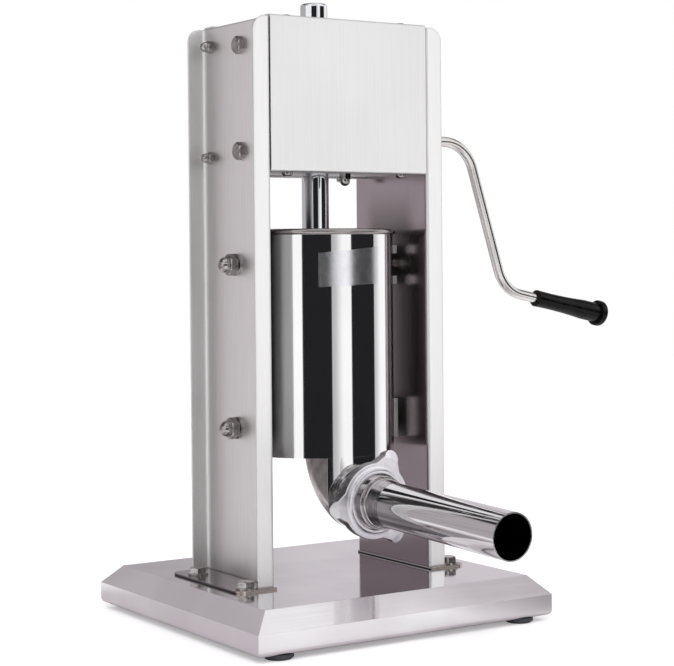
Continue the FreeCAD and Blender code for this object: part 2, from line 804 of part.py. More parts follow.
def box_plate(name, bottom, head_level, axis, has_bolt):
    """The gear box's floor or ceiling, screwed to the side plates."""
    base = block(name + "_blank",
                 ("2 * (web_in - cover_gap)", "column_depth - 2 * cover_bend", "box_plate"),
                 ("-(web_in - cover_gap)", "-column_front + cover_bend", bottom))
    low = "%s - 1" % bottom
    tools = [cylinder(name + "_rod_hole", "rod_bush_diameter / 2 + screw_gap", "box_plate + 2",
                      ("0", "0", low))]
    for index, (x, y) in enumerate(COVER_SCREWS):
        tools.append(cylinder("%s_hole_%d" % (name, index), "screw_diameter / 2 + screw_gap",
                              "box_plate + 2", (x, y, low)))
    if has_bolt:
        tools.append(cylinder(name + "_bolt_hole", "stud_diameter / 2 + screw_gap",
                              "box_plate + 2", COVER_BOLT + (low,)))
    for index, (x, y) in enumerate(FRAME_SCREWS):
        tools.append(sunk_hole("%s_sunk_%d" % (name, index), (x, y, head_level), axis))
    node(name, cut(name, base, tools))


FRAME_SCREWS = [(signed(side, "frame_screw_x"), y) for _, side in SIDES
                for y in ("-frame_screw_y", "frame_screw_y")]


def side_plate(name, side):
    start = "-web_in" if side < 0 else "plate_in"
    base = block(name + "_blank", ("side_plate", "2 * side_plate_half", "ceiling_bottom - floor_top"),
                 (start, "-side_plate_half", "floor_top"))
    outside = "%s - 1" % start
    tools = []
    for index, (y, z, size) in enumerate(gearbox_fixings()):
        tools.append(cylinder("%s_hole_%d" % (name, index), "(%s) / 2 + screw_gap" % size,
                              "side_plate + 2", (outside, y, z), "x"))
    for index, z in enumerate(("crank_z", "drive_z")):
        tools.append(cylinder("%s_bush_hole_%d" % (name, index), "bush_diameter / 2 + screw_gap",
                              "side_plate + 2", (outside, "shaft_y", z), "x"))
    for index, y in enumerate(("-frame_screw_y", "frame_screw_y")):
        for level, axis in (("floor_top - 1", "z"), ("ceiling_bottom + 1", "-z")):
            tools.append(cylinder("%s_tapped_%d%s" % (name, index, "b" if axis == "z" else "t"),
                                  "frame_screw_diameter / 2 + screw_gap", "frame_screw_length",
                                  (signed(side, "frame_screw_x"), y, level), axis))
    node(name, cut(name, base, tools))


def gearbox_fasteners():
    bolts, studs, nuts = [], [], []
    for label, side in SIDES:
        axis = "x" if side > 0 else "-x"
        seat = signed(side, "web_out")
        for index, (y, z, _) in enumerate(gearbox_fixings()):
            name = "%s_fixing_%d" % (label, index)
            if index < 2:
                bolts.append(hex_bolt(name, "column_sheet + side_plate", (seat, y, z), axis))
            else:
                nuts.append(acorn_nut(name, (seat, y, z), axis))
                start = signed(side, "plate_in")
                studs.append(cylinder(name + "_stud", "stud_diameter / 2",
                                      "side_plate + column_sheet + acorn_height * 0.6",
                                      (start, y, z), axis))
    nuts.append(acorn_nut("cover_nut", COVER_BOLT + ("box_bottom",), "-z"))
    node("gearbox_bolts", group("gearbox_bolts", bolts))
    node("gearbox_studs", group("gearbox_studs", studs))
    node("gearbox_acorn_nuts", group("gearbox_acorn_nuts", nuts))

    screws = []
    for index, (x, y) in enumerate(COVER_SCREWS):
        for end, level, axis, tall in (("b", "box_bottom", "-z", "screw_head_height"),
                                       ("t", "box_top", "z", "low_head_height")):
            screws.append(pan_screw("cover_screw_%d%s" % (index, end), "screw_diameter",
                                    "screw_head", tall, "cover_sheet + box_plate",
                                    (x, y, level), axis))
    head = hexagon("cover_bolt_end", "acorn_flats", "4", COVER_BOLT + ("floor_top",))
    shank = cylinder("cover_bolt_shank", "stud_diameter / 2",
                     "box_plate + cover_sheet + acorn_height * 0.6", COVER_BOLT + ("floor_top",),
                     "-z")
    screws.append(fuse("cover_bolt", [head, shank]))
    node("cover_screws", group("cover_screws", screws))

    sunk = []
    for index, (x, y) in enumerate(FRAME_SCREWS):
        sunk.append(sunk_screw("floor_screw_%d" % index, (x, y, "floor_bottom"), "z"))
        sunk.append(sunk_screw("ceiling_screw_%d" % index, (x, y, "ceiling_top"), "-z"))
    node("gearbox_frame_screws", group("gearbox_frame_screws", sunk))


def bush(name, bore, outside, flange, flange_sheet, length, at, axis):
    """A flanged bush: its flange's seat is at the point and its sleeve lies along the axis."""
    corners = [(bore, "-(%s)" % flange_sheet), (flange, "-(%s)" % flange_sheet), (flange, "0"),
               (outside, "0"), (outside, length), (bore, length)]
    return turned(name, corners, at, axis)


def bushes():
    for label, z in (("crank", "crank_z"), ("drive", "drive_z")):
        pair = []
        for side_name, side in SIDES:
            length = "side_plate + column_sheet" if side > 0 else "side_plate - 0.2"
            pair.append(bush("%s_bush_%s" % (label, side_name), "shaft_radius + running_gap",
                             "bush_diameter / 2", "bush_flange / 2", "bush_flange_sheet", length,
                             (signed(side, "plate_in"), "shaft_y", z), "x" if side > 0 else "-x"))
        node("%s_shaft_bushes" % label, group("%s_shaft_bushes" % label, pair))
    pair = [bush("%s_rod_bush" % label, "rod_radius + running_gap", "rod_bush_diameter / 2",
                 "rod_bush_flange / 2", "rod_bush_flange_sheet", length, ("0", "0", level), "-z")
            for label, level, length in (("lower", "floor_top", "box_plate"),
                                         ("upper", "ceiling_top", "rod_bush_length"))]
    node("rod_bushes", group("rod_bushes", pair))


# Gear train
def involute(base, radius):
    """The angle in radians that an involute has turned through when it reaches a radius."""
    tilt = math.acos(min(base / radius, 1))
    return math.tan(tilt) - tilt


def gear(name, teeth, face, phase, at):
    """A spur gear with a keyed bore. Its teeth are involutes at a pressure angle of 20 degrees,
    thinned by half of the backlash. A tooth lies at the phase, counted from -Z towards +Y."""
    module, count = value("gear_module"), int(round(value(teeth)))
    pitch = module * count / 2
    base = pitch * math.cos(math.radians(20))
    tip = pitch + value("tooth_addendum")
    root = pitch - value("tooth_dedendum")
    half = math.pi / (2 * count) - value("tooth_backlash") / (4 * pitch)
    start = max(base, root)
    radii = [start + (tip - start) * step / 5 for step in range(6)]
    flank = [(r, half + involute(base, pitch) - involute(base, r)) for r in radii]
    flank.insert(0, (root, flank[0][1]))
    points = []
    for tooth in range(count):
        middle = math.radians(phase) + 2 * math.pi * tooth / count
        points += [V(r * math.cos(middle - a), r * math.sin(middle - a), 0) for r, a in flank]
        points += [V(r * math.cos(middle + a), r * math.sin(middle + a), 0)
                   for r, a in reversed(flank)]
    points.append(points[0])
    width = value(face)
    solid = Part.Face(Part.makePolygon(points)).extrude(V(0, 0, width))
    bore = value("shaft_radius + running_gap")
    key = value("key_width") + 2 * value("running_gap")
    depth = value("shaft_radius + key_depth") - 0.3
    solid = solid.cut(Part.makeCylinder(bore, width))
    solid = solid.cut(Part.makeBox(depth, key, width, V(-depth, -key / 2, 0)))
    made = doc.addObject("Part::Feature", name)
    made.Shape = solid
    return place(made, at, "x")


def gear_key(name, length, at):
    """A parallel key in the top of a shaft, standing into the gear's keyway."""
    return block(name, (length, "key_width", "key_depth * 2 - 0.5"),
                 (at[0], "%s - key_width / 2" % at[1], "%s + shaft_radius - key_depth" % at[2]))


def gear_shaft(name, end, height, key_seats):
    """A shaft with circlip grooves inside both side plates, keyways and a flat on its free end."""
    start = "-web_in + 0.8"
    corners = [("0", start), ("shaft_radius - 0.5", start), ("shaft_radius", "%s + 0.5" % start)]
    for side in (-1, 1):
        edges = [signed(side, "clip_x"), signed(side, "clip_x + clip_sheet")]
        low, high = edges if side > 0 else edges[::-1]
        corners += [("shaft_radius", "%s - 0.05" % low),
                    ("shaft_radius - clip_groove", "%s - 0.05" % low),
                    ("shaft_radius - clip_groove", "%s + 0.05" % high),
                    ("shaft_radius", "%s + 0.05" % high)]
    corners += [("shaft_radius", "%s - 1" % end), ("shaft_radius - 1", end), ("0", end)]
    bar = turned(name + "_bar", corners, ("0", "shaft_y", height), "x")
    tools = [block("%s_keyway_%d" % (name, index),
                   (length, "key_width", "10"),
                   (x, "shaft_y - key_width / 2", "%s + shaft_radius - key_depth" % height))
             for index, (x, length) in enumerate(key_seats)]
    tools.append(block(name + "_flat", ("20", "10", "shaft_diameter + 2"),
                       ("%s - 18" % end, "shaft_y - shaft_radius - 9",
                        "%s - shaft_radius - 1" % height)))
    node(name, cut(name, bar, tools))


def clips(name, height):
    pair = [ring("%s_%s" % (name, label), "shaft_radius - clip_groove + 0.05",
                 "clip_diameter / 2", "clip_sheet",
                 (signed(side, "clip_x") if side > 0 else "-(clip_x + clip_sheet)", "shaft_y",
                  height), "x")
            for label, side in SIDES]
    node(name, group(name, pair))


def gear_train():
    face_x = "gear_x"
    rack_x = "-rack_pinion_face / 2"
    half_tooth = 180 / value("reduction_teeth")
    gear_shaft("crank_shaft", "shaft_reach", "crank_z", [(face_x, "gear_face")])
    gear_shaft("drive_shaft", "shaft_reach - 4", "drive_z",
               [(face_x, "gear_face"), (rack_x, "rack_pinion_face")])
    crank_at = (face_x, "shaft_y", "crank_z")
    drive_at = (face_x, "shaft_y", "drive_z")
    rack_at = (rack_x, "shaft_y", "drive_z")
    node("crank_pinion", gear("crank_pinion", "pinion_teeth", "gear_face", 180, crank_at))
    node("reduction_gear", gear("reduction_gear", "reduction_teeth", "gear_face", half_tooth,
                                drive_at))
    node("rack_pinion", gear("rack_pinion", "pinion_teeth", "rack_pinion_face", -90, rack_at))
    node("crank_pinion_key", gear_key("crank_pinion_key", "gear_face", crank_at))
    node("drive_shaft_keys", group("drive_shaft_keys", [
        gear_key("reduction_gear_key", "gear_face", drive_at),
        gear_key("rack_pinion_key", "rack_pinion_face", rack_at)]))
    clips("crank_shaft_clips", "crank_z")
    clips("drive_shaft_clips", "drive_z")


# Rack rod and piston
def rack_rod():
    """A round bar with a flat and rack teeth along its back, and a spigot for the piston."""
    owner = body("rack_rod")
    corners = [("0", "piston_bottom + 0.5"), ("spigot_diameter / 2", "piston_bottom + 0.5"),
               ("spigot_diameter / 2", "piston_top"), ("rod_radius", "piston_top"),
               ("rod_radius", "rod_top - rod_top_round"),
               ("rod_radius - rod_top_round", "rod_top", "rod_top_round", 1), ("0", "rod_top")]
    profile = outline(sketch(owner, "XZ"), corners)
    bar = owner.newObject("PartDesign::Revolution", "rack_rod_turn")
    bar.Profile = profile
    bar.ReferenceAxis = (profile, ["V_Axis"])
    bar.Angle = 360

    above = 2
    below = math.ceil(value("piston_stroke / tooth_pitch")) + 2
    low = "drive_z - %d * tooth_pitch" % (below + 1)
    high = "drive_z + %d * tooth_pitch" % (above + 1)
    flat = outline(sketch(owner, "YZ"), [("rack_tip", low), ("rod_diameter", low),
                                         ("rod_diameter", high), ("rack_tip", high)])
    pocket(owner, flat, "rod_diameter * 2", both=True)

    root = "rack_pitch_line - tooth_dedendum"
    outer = "rod_radius + 1"
    last = "drive_z - %d * tooth_pitch" % below

    def half_gap(y):
        return "(tooth_pitch / 4 + tooth_backlash / 4 + ((%s) - rack_pitch_line) * tan(20))" % y
    gap = outline(sketch(owner, "YZ"), [
        (root, "%s - %s" % (last, half_gap(root))), (outer, "%s - %s" % (last, half_gap(outer))),
        (outer, "%s + %s" % (last, half_gap(outer))), (root, "%s + %s" % (last, half_gap(root)))])
    tooth_gap = pocket(owner, gap, "rod_diameter * 2", both=True)
    row = owner.newObject("PartDesign::LinearPattern", "rack_rod_row")
    row.Originals = [tooth_gap]
    row.Direction = (profile, ["V_Axis"])
    row.Occurrences = above + below + 1
    row.setExpression("Length", bind("%d * tooth_pitch" % (above + below)))
    owner.Tip = row
    node("rack_rod", owner)


def piston():
    groove = "piston_radius - seal_depth"
    disc = turned("piston_turned", [
        ("spigot_diameter / 2 + running_gap", "piston_web_z"),
        ("piston_recess / 2", "piston_web_z"),
        ("piston_recess / 2", "piston_bottom"),
        ("piston_radius - piston_bevel", "piston_bottom"),
        ("piston_radius", "piston_bottom + piston_bevel"),
        ("piston_radius", "seal_z"),
        (groove, "seal_z"),
        (groove, "seal_z + seal_height"),
        ("piston_radius", "seal_z + seal_height"),
        ("piston_radius", "piston_disc_top - piston_bevel"),
        ("piston_radius - piston_bevel", "piston_disc_top"),
        ("piston_boss / 2", "piston_disc_top"),
        ("piston_boss / 2", "piston_top"),
        ("spigot_diameter / 2 + running_gap", "piston_top"),
    ])
    valve_hole = cylinder("piston_valve_hole", "valve_body / 2 + screw_gap", "piston_disc + 2",
                          ("-valve_x", "0", "piston_bottom - 1"))
    pocket_head = cylinder("piston_valve_pocket", "valve_body / 2 + 2 + screw_gap", "2.5",
                           ("-valve_x", "0", "piston_disc_top - 1.5"))
    node("piston_disc", cut("piston_disc", disc, [valve_hole, pocket_head]))
    node("piston_seal", turned("piston_seal", [
        ("piston_radius - seal_depth + running_gap", "seal_z + seat_gap"),
        ("barrel_bore / 2 - seal_gap - 1", "seal_z + seat_gap"),
        ("barrel_bore / 2 - seal_gap", "seal_z + seal_height * 0.35"),
        ("barrel_bore / 2 - seal_gap", "seal_z + seal_height * 0.65"),
        ("barrel_bore / 2 - seal_gap - 1", "seal_z + seal_height - seat_gap"),
        ("piston_radius - seal_depth + running_gap", "seal_z + seal_height - seat_gap")]))
    nut = hexagon("piston_nut_hexagon", "piston_nut_flats", "piston_nut_height",
                  ("0", "0", "piston_nut_z"))
    node("piston_nut", cut("piston_nut", nut, [
        cylinder("piston_nut_bore", "spigot_diameter / 2 + screw_gap", "piston_nut_height + 2",
                 ("0", "0", "piston_nut_z - 1"))]))
    node("piston_washer", ring("piston_washer", "spigot_diameter / 2 + screw_gap",
                               "piston_washer / 2", "piston_washer_sheet",
                               ("0", "0", "piston_washer_z")))


def air_valve():
    """The valve that lets air out from under the piston: a seat, a poppet and its clip."""
    at = ("-valve_x", "0", "piston_bottom")
    seat_top = "piston_disc - 1.5"
    node("air_valve_seat", turned("air_valve_seat", [
        ("valve_stem / 2 + 0.2", "valve_travel + 2"), ("valve_body / 2", "valve_travel + 2"),
        ("valve_body / 2", seat_top), ("valve_body / 2 + 2", seat_top),
        ("valve_body / 2 + 2", "piston_disc"), ("valve_stem / 2 + 0.2", "piston_disc")], at))
    node("air_valve_poppet", turned("air_valve_poppet", [
        ("0", "0.4"), ("valve_stem / 2", "0.4"), ("valve_stem / 2", "piston_disc + 0.05"),
        ("valve_head / 2", "piston_disc + 0.05"), ("valve_head / 2", "piston_disc + 1.5"),
        ("valve_head / 2 - 1.5", "piston_disc + 3"), ("0", "piston_disc + 3")], at))
    node("air_valve_clip", ring("air_valve_clip", "valve_stem / 2 + 0.02", "valve_stem / 2 + 2",
                                "1", ("-valve_x", "0", "piston_bottom + 0.8")))


# Barrel
def barrel():
    inside, outside = "barrel_bore / 2", "barrel_radius"
    node("barrel", turned("barrel", [
        (inside, "barrel_bottom"), (outside, "barrel_bottom"),
        (outside, "barrel_top - 2 * bead_radius"),
        ("barrel_radius + bead_radius", "barrel_top - bead_radius", "bead_radius", 1),
        (outside, "barrel_top", "bead_radius", 1), (inside, "barrel_top")]))

    owner = body("barrel_floor")
    disc = rings(sketch(owner, "XY", "barrel_bottom"),
                 [("0", "0", "barrel_bore / 2 - running_gap")])
    pad(owner, disc, "barrel_floor_sheet")
    side = "chute_half - chute_sheet - 2"
    opening = outline(sketch(owner, "XY", "barrel_floor_top"), [
        ("-(%s)" % side, "-chute_front + chute_mouth_run"),
        (side, "-chute_front + chute_mouth_run"),
        (side, "-chute_back - 14"), ("-(%s)" % side, "-chute_back - 14")][::-1])
    pocket(owner, opening, "barrel_floor_sheet")
    node("barrel_floor", owner)


def barrel_lugs():
    """Forks near the rim, open to the front, and inverted forks near the floor, open below."""
    rows = {"upper": ("upper_pin_z - upper_lug_drop", "upper_pin_z - upper_lug_drop",
                      "lug_mouth / 2"),
            "lower": ("lower_pin_z + lower_lug_rise", "lower_pin_z",
                      "roller_diameter / 2 + soft_gap")}
    long = "lug_reach - barrel_radius + 20"
    for row, (middle, seat_z, half) in rows.items():
        pair = []
        for label, side in SIDES:
            name = "%s_%s_lug" % (row, label)
            start = "-lug_reach" if side < 0 else "barrel_radius - 10"
            low_x = "%s - 5" % start
            blank = block(name + "_blank", ("lug_reach - barrel_radius + 10",
                                            "2 * lug_half_depth", "2 * lug_half_height"),
                          (start, "-lug_half_depth", "%s - lug_half_height" % middle))
            seat = cylinder(name + "_seat", half, long, (low_x, "0", seat_z), "x")
            shell = cylinder(name + "_shell", "barrel_radius + running_gap",
                             "2 * lug_half_height + 2",
                             ("0", "0", "%s - lug_half_height - 1" % middle))
            mouth = ((long, "lug_half_depth + 5", "2 * (%s)" % half),
                     (low_x, "-lug_half_depth - 5", "%s - %s" % (seat_z, half)))
            if row == "lower":
                mouth = ((long, "2 * (%s)" % half, "lug_half_height + 5"),
                         (low_x, "-(%s)" % half, "%s - lug_half_height - 5" % seat_z))
            pair.append(cut(name, blank, [seat, block(name + "_mouth", *mouth), shell]))
        node("%s_barrel_lugs" % row, group("%s_barrel_lugs" % row, pair))


def barrel_pins():
    """Rollers that carry the barrel, each on a threaded pin through its column's web."""
    pins, washers, nuts = [], [], []
    for label, side in SIDES:
        axis = "x" if side > 0 else "-x"
        for row, z in (("upper", "upper_pin_z"), ("lower", "lower_pin_z")):
            name = "%s_%s_pin" % (label, row)
            roller_end = "lug_reach - roller_in + 0.3"
            web = "web_in - roller_in"
            end = "web_out - roller_in + pin_washer_sheet + cap_height * 0.6"
            corners = [("0", "0"), ("roller_diameter / 2 - 1", "0"), ("roller_diameter / 2", "1"),
                       ("roller_diameter / 2", roller_end), ("pin_collar / 2", roller_end),
                       ("pin_collar / 2", web), ("pin_diameter / 2", web),
                       ("pin_diameter / 2", end), ("0", end)]
            pins.append(turned(name, corners, (signed(side, "roller_in"), "0", z), axis))
            washers.append(ring(name + "_washer", "pin_diameter / 2 + screw_gap",
                                "pin_washer / 2", "pin_washer_sheet",
                                (signed(side, "web_out"), "0", z), axis))
            nuts.append(cap_nut(name + "_nut",
                                (signed(side, "web_out + pin_washer_sheet"), "0", z), axis))
    node("barrel_support_pins", group("barrel_support_pins", pins))
    node("support_pin_washers", group("support_pin_washers", washers))
    node("support_pin_cap_nuts", group("support_pin_cap_nuts", nuts))


# Spout
def chute_form(name, inset, rise):
    """The chute's outer form, or the hollow in it: inset by the sheet and open at the top. Its
    front carries on from the barrel's wall."""
    owner = body(name)
    top = "barrel_bottom + %s" % rise
    front = "-barrel_radius - 1 + %s" % inset
    half = "chute_half - %s" % inset
    profile = outline(sketch(owner, "YZ"), [
        ("-chute_back - %s" % inset, top),
        (front, "outlet_z - collar_radius - chute_toe + %s * 1.3" % inset,
         "chute_curve - %s" % inset, -1),
        (front, top),
    ])
    pad(owner, profile, "2 * (%s)" % half, both=True)
    side = value(half)
    soften(owner, "chute_round - %s" % inset, lambda edge: not isinstance(edge.Curve, Part.Line)
           and all(abs(abs(p.X) - side) < 1e-6 for p in edge.Vertexes))
    made = doc.addObject("Part::Common", name + "_form")
    made.Base = owner
    made.Tool = cylinder(name + "_wall", "barrel_radius - %s" % inset, "barrel_rise",
                         ("0", "0", "tray_top + 2"))
    return made


def spout():
    """The welded chute under the barrel, and the threaded collar welded to its round front."""
    hole = place_on_outlet(cylinder("chute_hole", "collar_radius - collar_wall",
                                    "barrel_radius - chute_front + 4 * collar_root", ("0",) * 3))
    shift_on_outlet(hole, "-2 * collar_root")
    node("spout_chute", cut("spout_chute", chute_form("chute_outside", "0", "0"),
                            [chute_form("chute_hollow", "chute_sheet", "1"), hole]))

    crest, groove = "collar_radius", "collar_radius - thread_depth"
    bore = "collar_radius - collar_wall"
    flare = "collar_radius + collar_flare"
    corners = [(bore, "-collar_root"), (flare, "-collar_root"), (flare, "collar_flare_start"),
               (crest, "collar_flare_end"), (crest, "thread_start")]
    turns = int(value("(collar_length - thread_start) / thread_pitch"))
    for turn in range(turns):
        start = "thread_start + %d * thread_pitch" % turn
        corners += [(groove, "%s + thread_pitch * 0.35" % start),
                    (groove, "%s + thread_pitch * 0.55" % start),
                    (crest, "%s + thread_pitch * 0.9" % start),
                    (crest, "%s + thread_pitch" % start)]
    corners += [("collar_radius - 0.5", "collar_length"), (bore, "collar_length")]
    blank = place_on_outlet(turned("collar_blank", corners))
    behind = cylinder("collar_behind", "barrel_radius", "2 * collar_radius + 20",
                      ("0", "0", "outlet_z - collar_radius - 10"))
    node("outlet_collar", cut("outlet_collar", blank, [behind]))


# Nozzle
def nozzle_nut():
    """A ring nut with three wings, the first at its angle from +X as the operator sees it."""
    owner = body("nut_casting")
    owner.Placement = FreeCAD.Placement(V(), FreeCAD.Rotation(V(0, 0, 1), 0))
    owner.setExpression("Placement.Rotation.Angle", bind("wing_angle"))
    pad(owner, rings(sketch(owner, "XY", "nut_start"), [("0", "0", "nut_radius")]), "nut_length")
    doc.recompute()
    tip_centre = "wing_reach - wing_tip"
    wing = outline(sketch(owner, "XY", "nut_start"), [
        ("nut_radius * 0.6", "-wing_root"), ("nut_radius * 0.8", "-wing_root"),
        (tip_centre, "-wing_tip"), ("wing_reach", "0", "wing_tip", 1),
        (tip_centre, "wing_tip", "wing_tip", 1), ("nut_radius * 0.8", "wing_root"),
        ("nut_radius * 0.6", "wing_root")])
    blade = pad(owner, wing, "nut_length")
    doc.recompute()
    wings = owner.newObject("PartDesign::PolarPattern", "nozzle_nut_wings")
    wings.Originals = [blade]
    axis = [f for f in owner.Origin.OriginFeatures if f.Role == "Z_Axis"][0]
    wings.Axis = (axis, [""])
    wings.Angle = 360
    wings.Occurrences = 3
    owner.Tip = wings
    radius = value("nut_radius")

    def notch(edge):
        ends = edge.Vertexes
        upright = len(ends) == 2 and abs(ends[0].X - ends[1].X) + abs(ends[0].Y - ends[1].Y) < 1e-6
        return upright and abs(math.hypot(ends[0].X, ends[0].Y) - radius) < 0.5
    soften(owner, "wing_fillet", notch)
    doc.recompute()
    faces = (value("nut_start"), value("nut_end"))

    def rim(edge):
        level = edge.BoundBox
        return level.ZMax - level.ZMin < 1e-6 and min(abs(level.ZMax - f) for f in faces) < 1e-6
    soften(owner, "nut_edge", rim)
    bore = rings(sketch(owner, "XY", "nut_start"), [("0", "0", "collar_radius + soft_gap")])
    pocket(owner, bore, "nut_length - nut_lip", up=True)
    mouth = rings(sketch(owner, "XY", "nut_end"), [("0", "0", "nut_lip_bore")])
    pocket(owner, mouth, "nut_lip + 1")
    hub = turned("nozzle_nut_hub", [("nut_lip_bore", "nut_end - 1"),
                                    ("nut_hub_radius", "nut_end - 1"),
                                    ("nut_hub_radius", "nut_end"),
                                    ("nut_hub_tip + 1", "nut_end + nut_hub_height - 1",
                                     "nut_hub_curve", -1),
                                    ("nut_hub_tip", "nut_end + nut_hub_height", "1", 1),
                                    ("nut_lip_bore", "nut_end + nut_hub_height")])
    bevels = turned("nozzle_nut_bevels", [
        ("0", "nut_start"), ("wing_back_reach", "nut_start"),
        ("wing_reach", "nut_end - wing_ridge"), ("wing_front_reach", "nut_end"),
        ("0", "nut_end")])
    winged = doc.addObject("Part::Common", "nozzle_nut_bevelled")
    winged.Base, winged.Tool = owner, bevels
    node("nozzle_nut", place_on_outlet(fuse("nozzle_nut", [winged, hub])))


def stuffing_tube():
    seat, lip = "tube_seat", "tube_seat + tube_flange_sheet"
    bore, pipe = "tube_diameter / 2 - tube_wall", "tube_diameter / 2"
    boss_end = "%s + tube_boss_length" % lip
    step_end = "%s + tube_step_length" % boss_end
    corners = [
        (bore, seat), ("tube_flange_radius", seat), ("tube_flange_radius", lip),
        ("tube_boss_radius", lip), ("tube_boss_radius", "%s - 1" % boss_end),
        ("tube_boss_radius - 1", boss_end, "1", 1), ("tube_step_radius", boss_end),
        ("tube_step_radius", "%s - 1" % step_end), ("tube_step_radius - 1", step_end, "1", 1),
        (pipe, "%s + tube_neck" % step_end, "tube_neck * 15", -1),
        (pipe, "tube_end"), (bore, "tube_end"),
    ]
    node("stuffing_tube", place_on_outlet(turned("stuffing_tube", corners)))
    gasket = place_on_outlet(ring("tube_gasket", "collar_radius - collar_wall + 0.5",
                                  "tube_flange_radius", "gasket_sheet"))
    node("tube_gasket", shift_on_outlet(gasket, "collar_length + seat_gap / 2"))


# Crank
def crank():
    hub_end = "hub_start + hub_length"
    hub = turned("crank_hub_turned", [
        ("shaft_radius + running_gap", "0"), ("hub_diameter / 2 - 1", "0"),
        ("hub_diameter / 2", "1"), ("hub_diameter / 2", "hub_length - 1"),
        ("hub_diameter / 2 - 1", "hub_length"), ("arm_diameter / 2 + running_gap", "hub_length"),
        ("arm_diameter / 2 + running_gap", "hub_socket"),
        ("shaft_radius + running_gap", "hub_socket")], ("hub_start", "shaft_y", "crank_z"), "x")
    thumb_x = "hub_start + 10"
    hole = cylinder("crank_hub_hole", "thumb_diameter / 2 + screw_gap", "hub_diameter",
                    (thumb_x, "shaft_y", "crank_z"), "-y")
    node("crank_hub", cut("crank_hub", hub, [hole]))

    knob_start = "hub_diameter / 2 + 2"
    knob_end = "%s + thumb_knob_length" % knob_start
    tip = "shaft_radius + 0.1"
    screw = turned("crank_thumb_screw", [
        ("0", tip), ("thumb_diameter / 2", tip), ("thumb_diameter / 2", knob_start),
        ("thumb_knob / 2 - 1", knob_start), ("thumb_knob / 2", "%s + 1" % knob_start),
        ("thumb_knob / 2", "%s - 1" % knob_end), ("thumb_knob / 2 - 1", knob_end),
        ("0", knob_end)], (thumb_x, "shaft_y", "crank_z"), "-y")
    node("crank_thumb_screw", screw)

    y, z = value("shaft_y"), value("crank_z")
    start = V(value("hub_start + hub_socket + 1"), y, z)
    first = V(value("arm_corner_x"), y, z)
    second = V(value("arm_corner_x + arm_spread"), y, value("arm_tilt_z"))
    tilt = math.radians(value("grip_tilt"))
    reach = value("grip_start + grip_length - grip_end_length - 8")
    end = second + V(math.cos(tilt), 0, -math.sin(tilt)) * reach
    path = bent_path([start, first, second, end], value("arm_bend"))
    circle = Part.Wire(Part.makeCircle(value("arm_diameter / 2"), start, V(1, 0, 0)))
    arm = doc.addObject("Part::Feature", "crank_arm")
    bar = path.makePipeShell([circle], True, False)
    drill = Part.makeCylinder(value("grip_screw_diameter / 2 + screw_gap"),
                              value("1.3 * grip_screw_length"), end,
                              (second - end).normalize())
    arm.Shape = bar.cut(drill)
    node("crank_arm", arm)


def bent_path(points, radius):
    """Straight runs joined by tangent arcs of one radius."""
    edges = []
    begin = points[0]
    for before, corner, after in zip(points, points[1:], points[2:]):
        inward = (before - corner).normalize()
        outward = (after - corner).normalize()
        turn = math.pi - inward.getAngle(outward)
        back = radius * math.tan(turn / 2)
        bisector = (inward + outward).normalize()
        middle = corner + bisector * (radius / math.cos(turn / 2) - radius)
        arc_start, arc_end = corner + inward * back, corner + outward * back
        edges.append(Part.LineSegment(begin, arc_start).toShape())
        edges.append(Part.Arc(arc_start, middle, arc_end).toShape())
        begin = arc_end
    edges.append(Part.LineSegment(begin, points[-1]).toShape())
    return Part.Wire(edges)


def tilted_along_grip(made, step):
    """Puts a turned piece on the grip's axis, a step on from the grip's inner end."""
    made.Placement = FreeCAD.Placement(V(), FreeCAD.Rotation(V(0, 1, 0), 90))
    made.setExpression("Placement.Rotation.Angle", bind("90 + grip_tilt"))
    made.setExpression("Placement.Base.x", bind("grip_x + (%s) * cos(grip_tilt)" % step))
    made.setExpression("Placement.Base.y", bind("shaft_y"))
    made.setExpression("Placement.Base.z", bind("grip_z - (%s) * sin(grip_tilt)" % step))
    return made


def grip():
    bore = "arm_diameter / 2 + soft_gap"
    seat = "grip_length - grip_end_length - 7.5"
    shell_end = "grip_length - grip_end_length"
    handle = turned("crank_grip", [
        (bore, "0"), ("grip_root / 2 - 1", "0"), ("grip_root / 2", "1", "1", 1),
        ("grip_waist / 2", "grip_length * 0.7", "grip_length * 6", -1),
        ("grip_waist / 2", shell_end), ("grip_counterbore / 2", shell_end),
        ("grip_counterbore / 2", seat), (bore, seat)])
    node("crank_grip", tilted_along_grip(handle, "0"))
    washer = ring("grip_washer", "grip_screw_diameter / 2 + screw_gap",
                  "grip_counterbore / 2 - 0.8", "1.2")
    node("grip_washer", tilted_along_grip(washer, "grip_length - grip_end_length - 7"))
    screw = pan_screw("grip_screw", "grip_screw_diameter", "grip_screw_head", "3", "grip_screw_length",
                      ("0", "0", "0"), "z")
    node("grip_screw", tilted_along_grip(screw, "grip_length - grip_end_length - 5.8"))
    cap = turned("grip_end_cap", [
        ("0", "0"), ("grip_end_diameter / 2 - 1", "0"),
        ("grip_end_diameter / 2", "1", "1", 1),
        ("grip_end_diameter / 2", "grip_end_length * 0.5"),
        ("grip_end_diameter / 2 - 3", "grip_end_length * 0.9", "3.2", 1),
        ("grip_end_diameter * 0.08", "grip_end_length", "grip_end_diameter * 3", 1),
        ("0", "grip_end_length")])
    node("grip_end_cap", tilted_along_grip(cap, "grip_length - grip_end_length"))


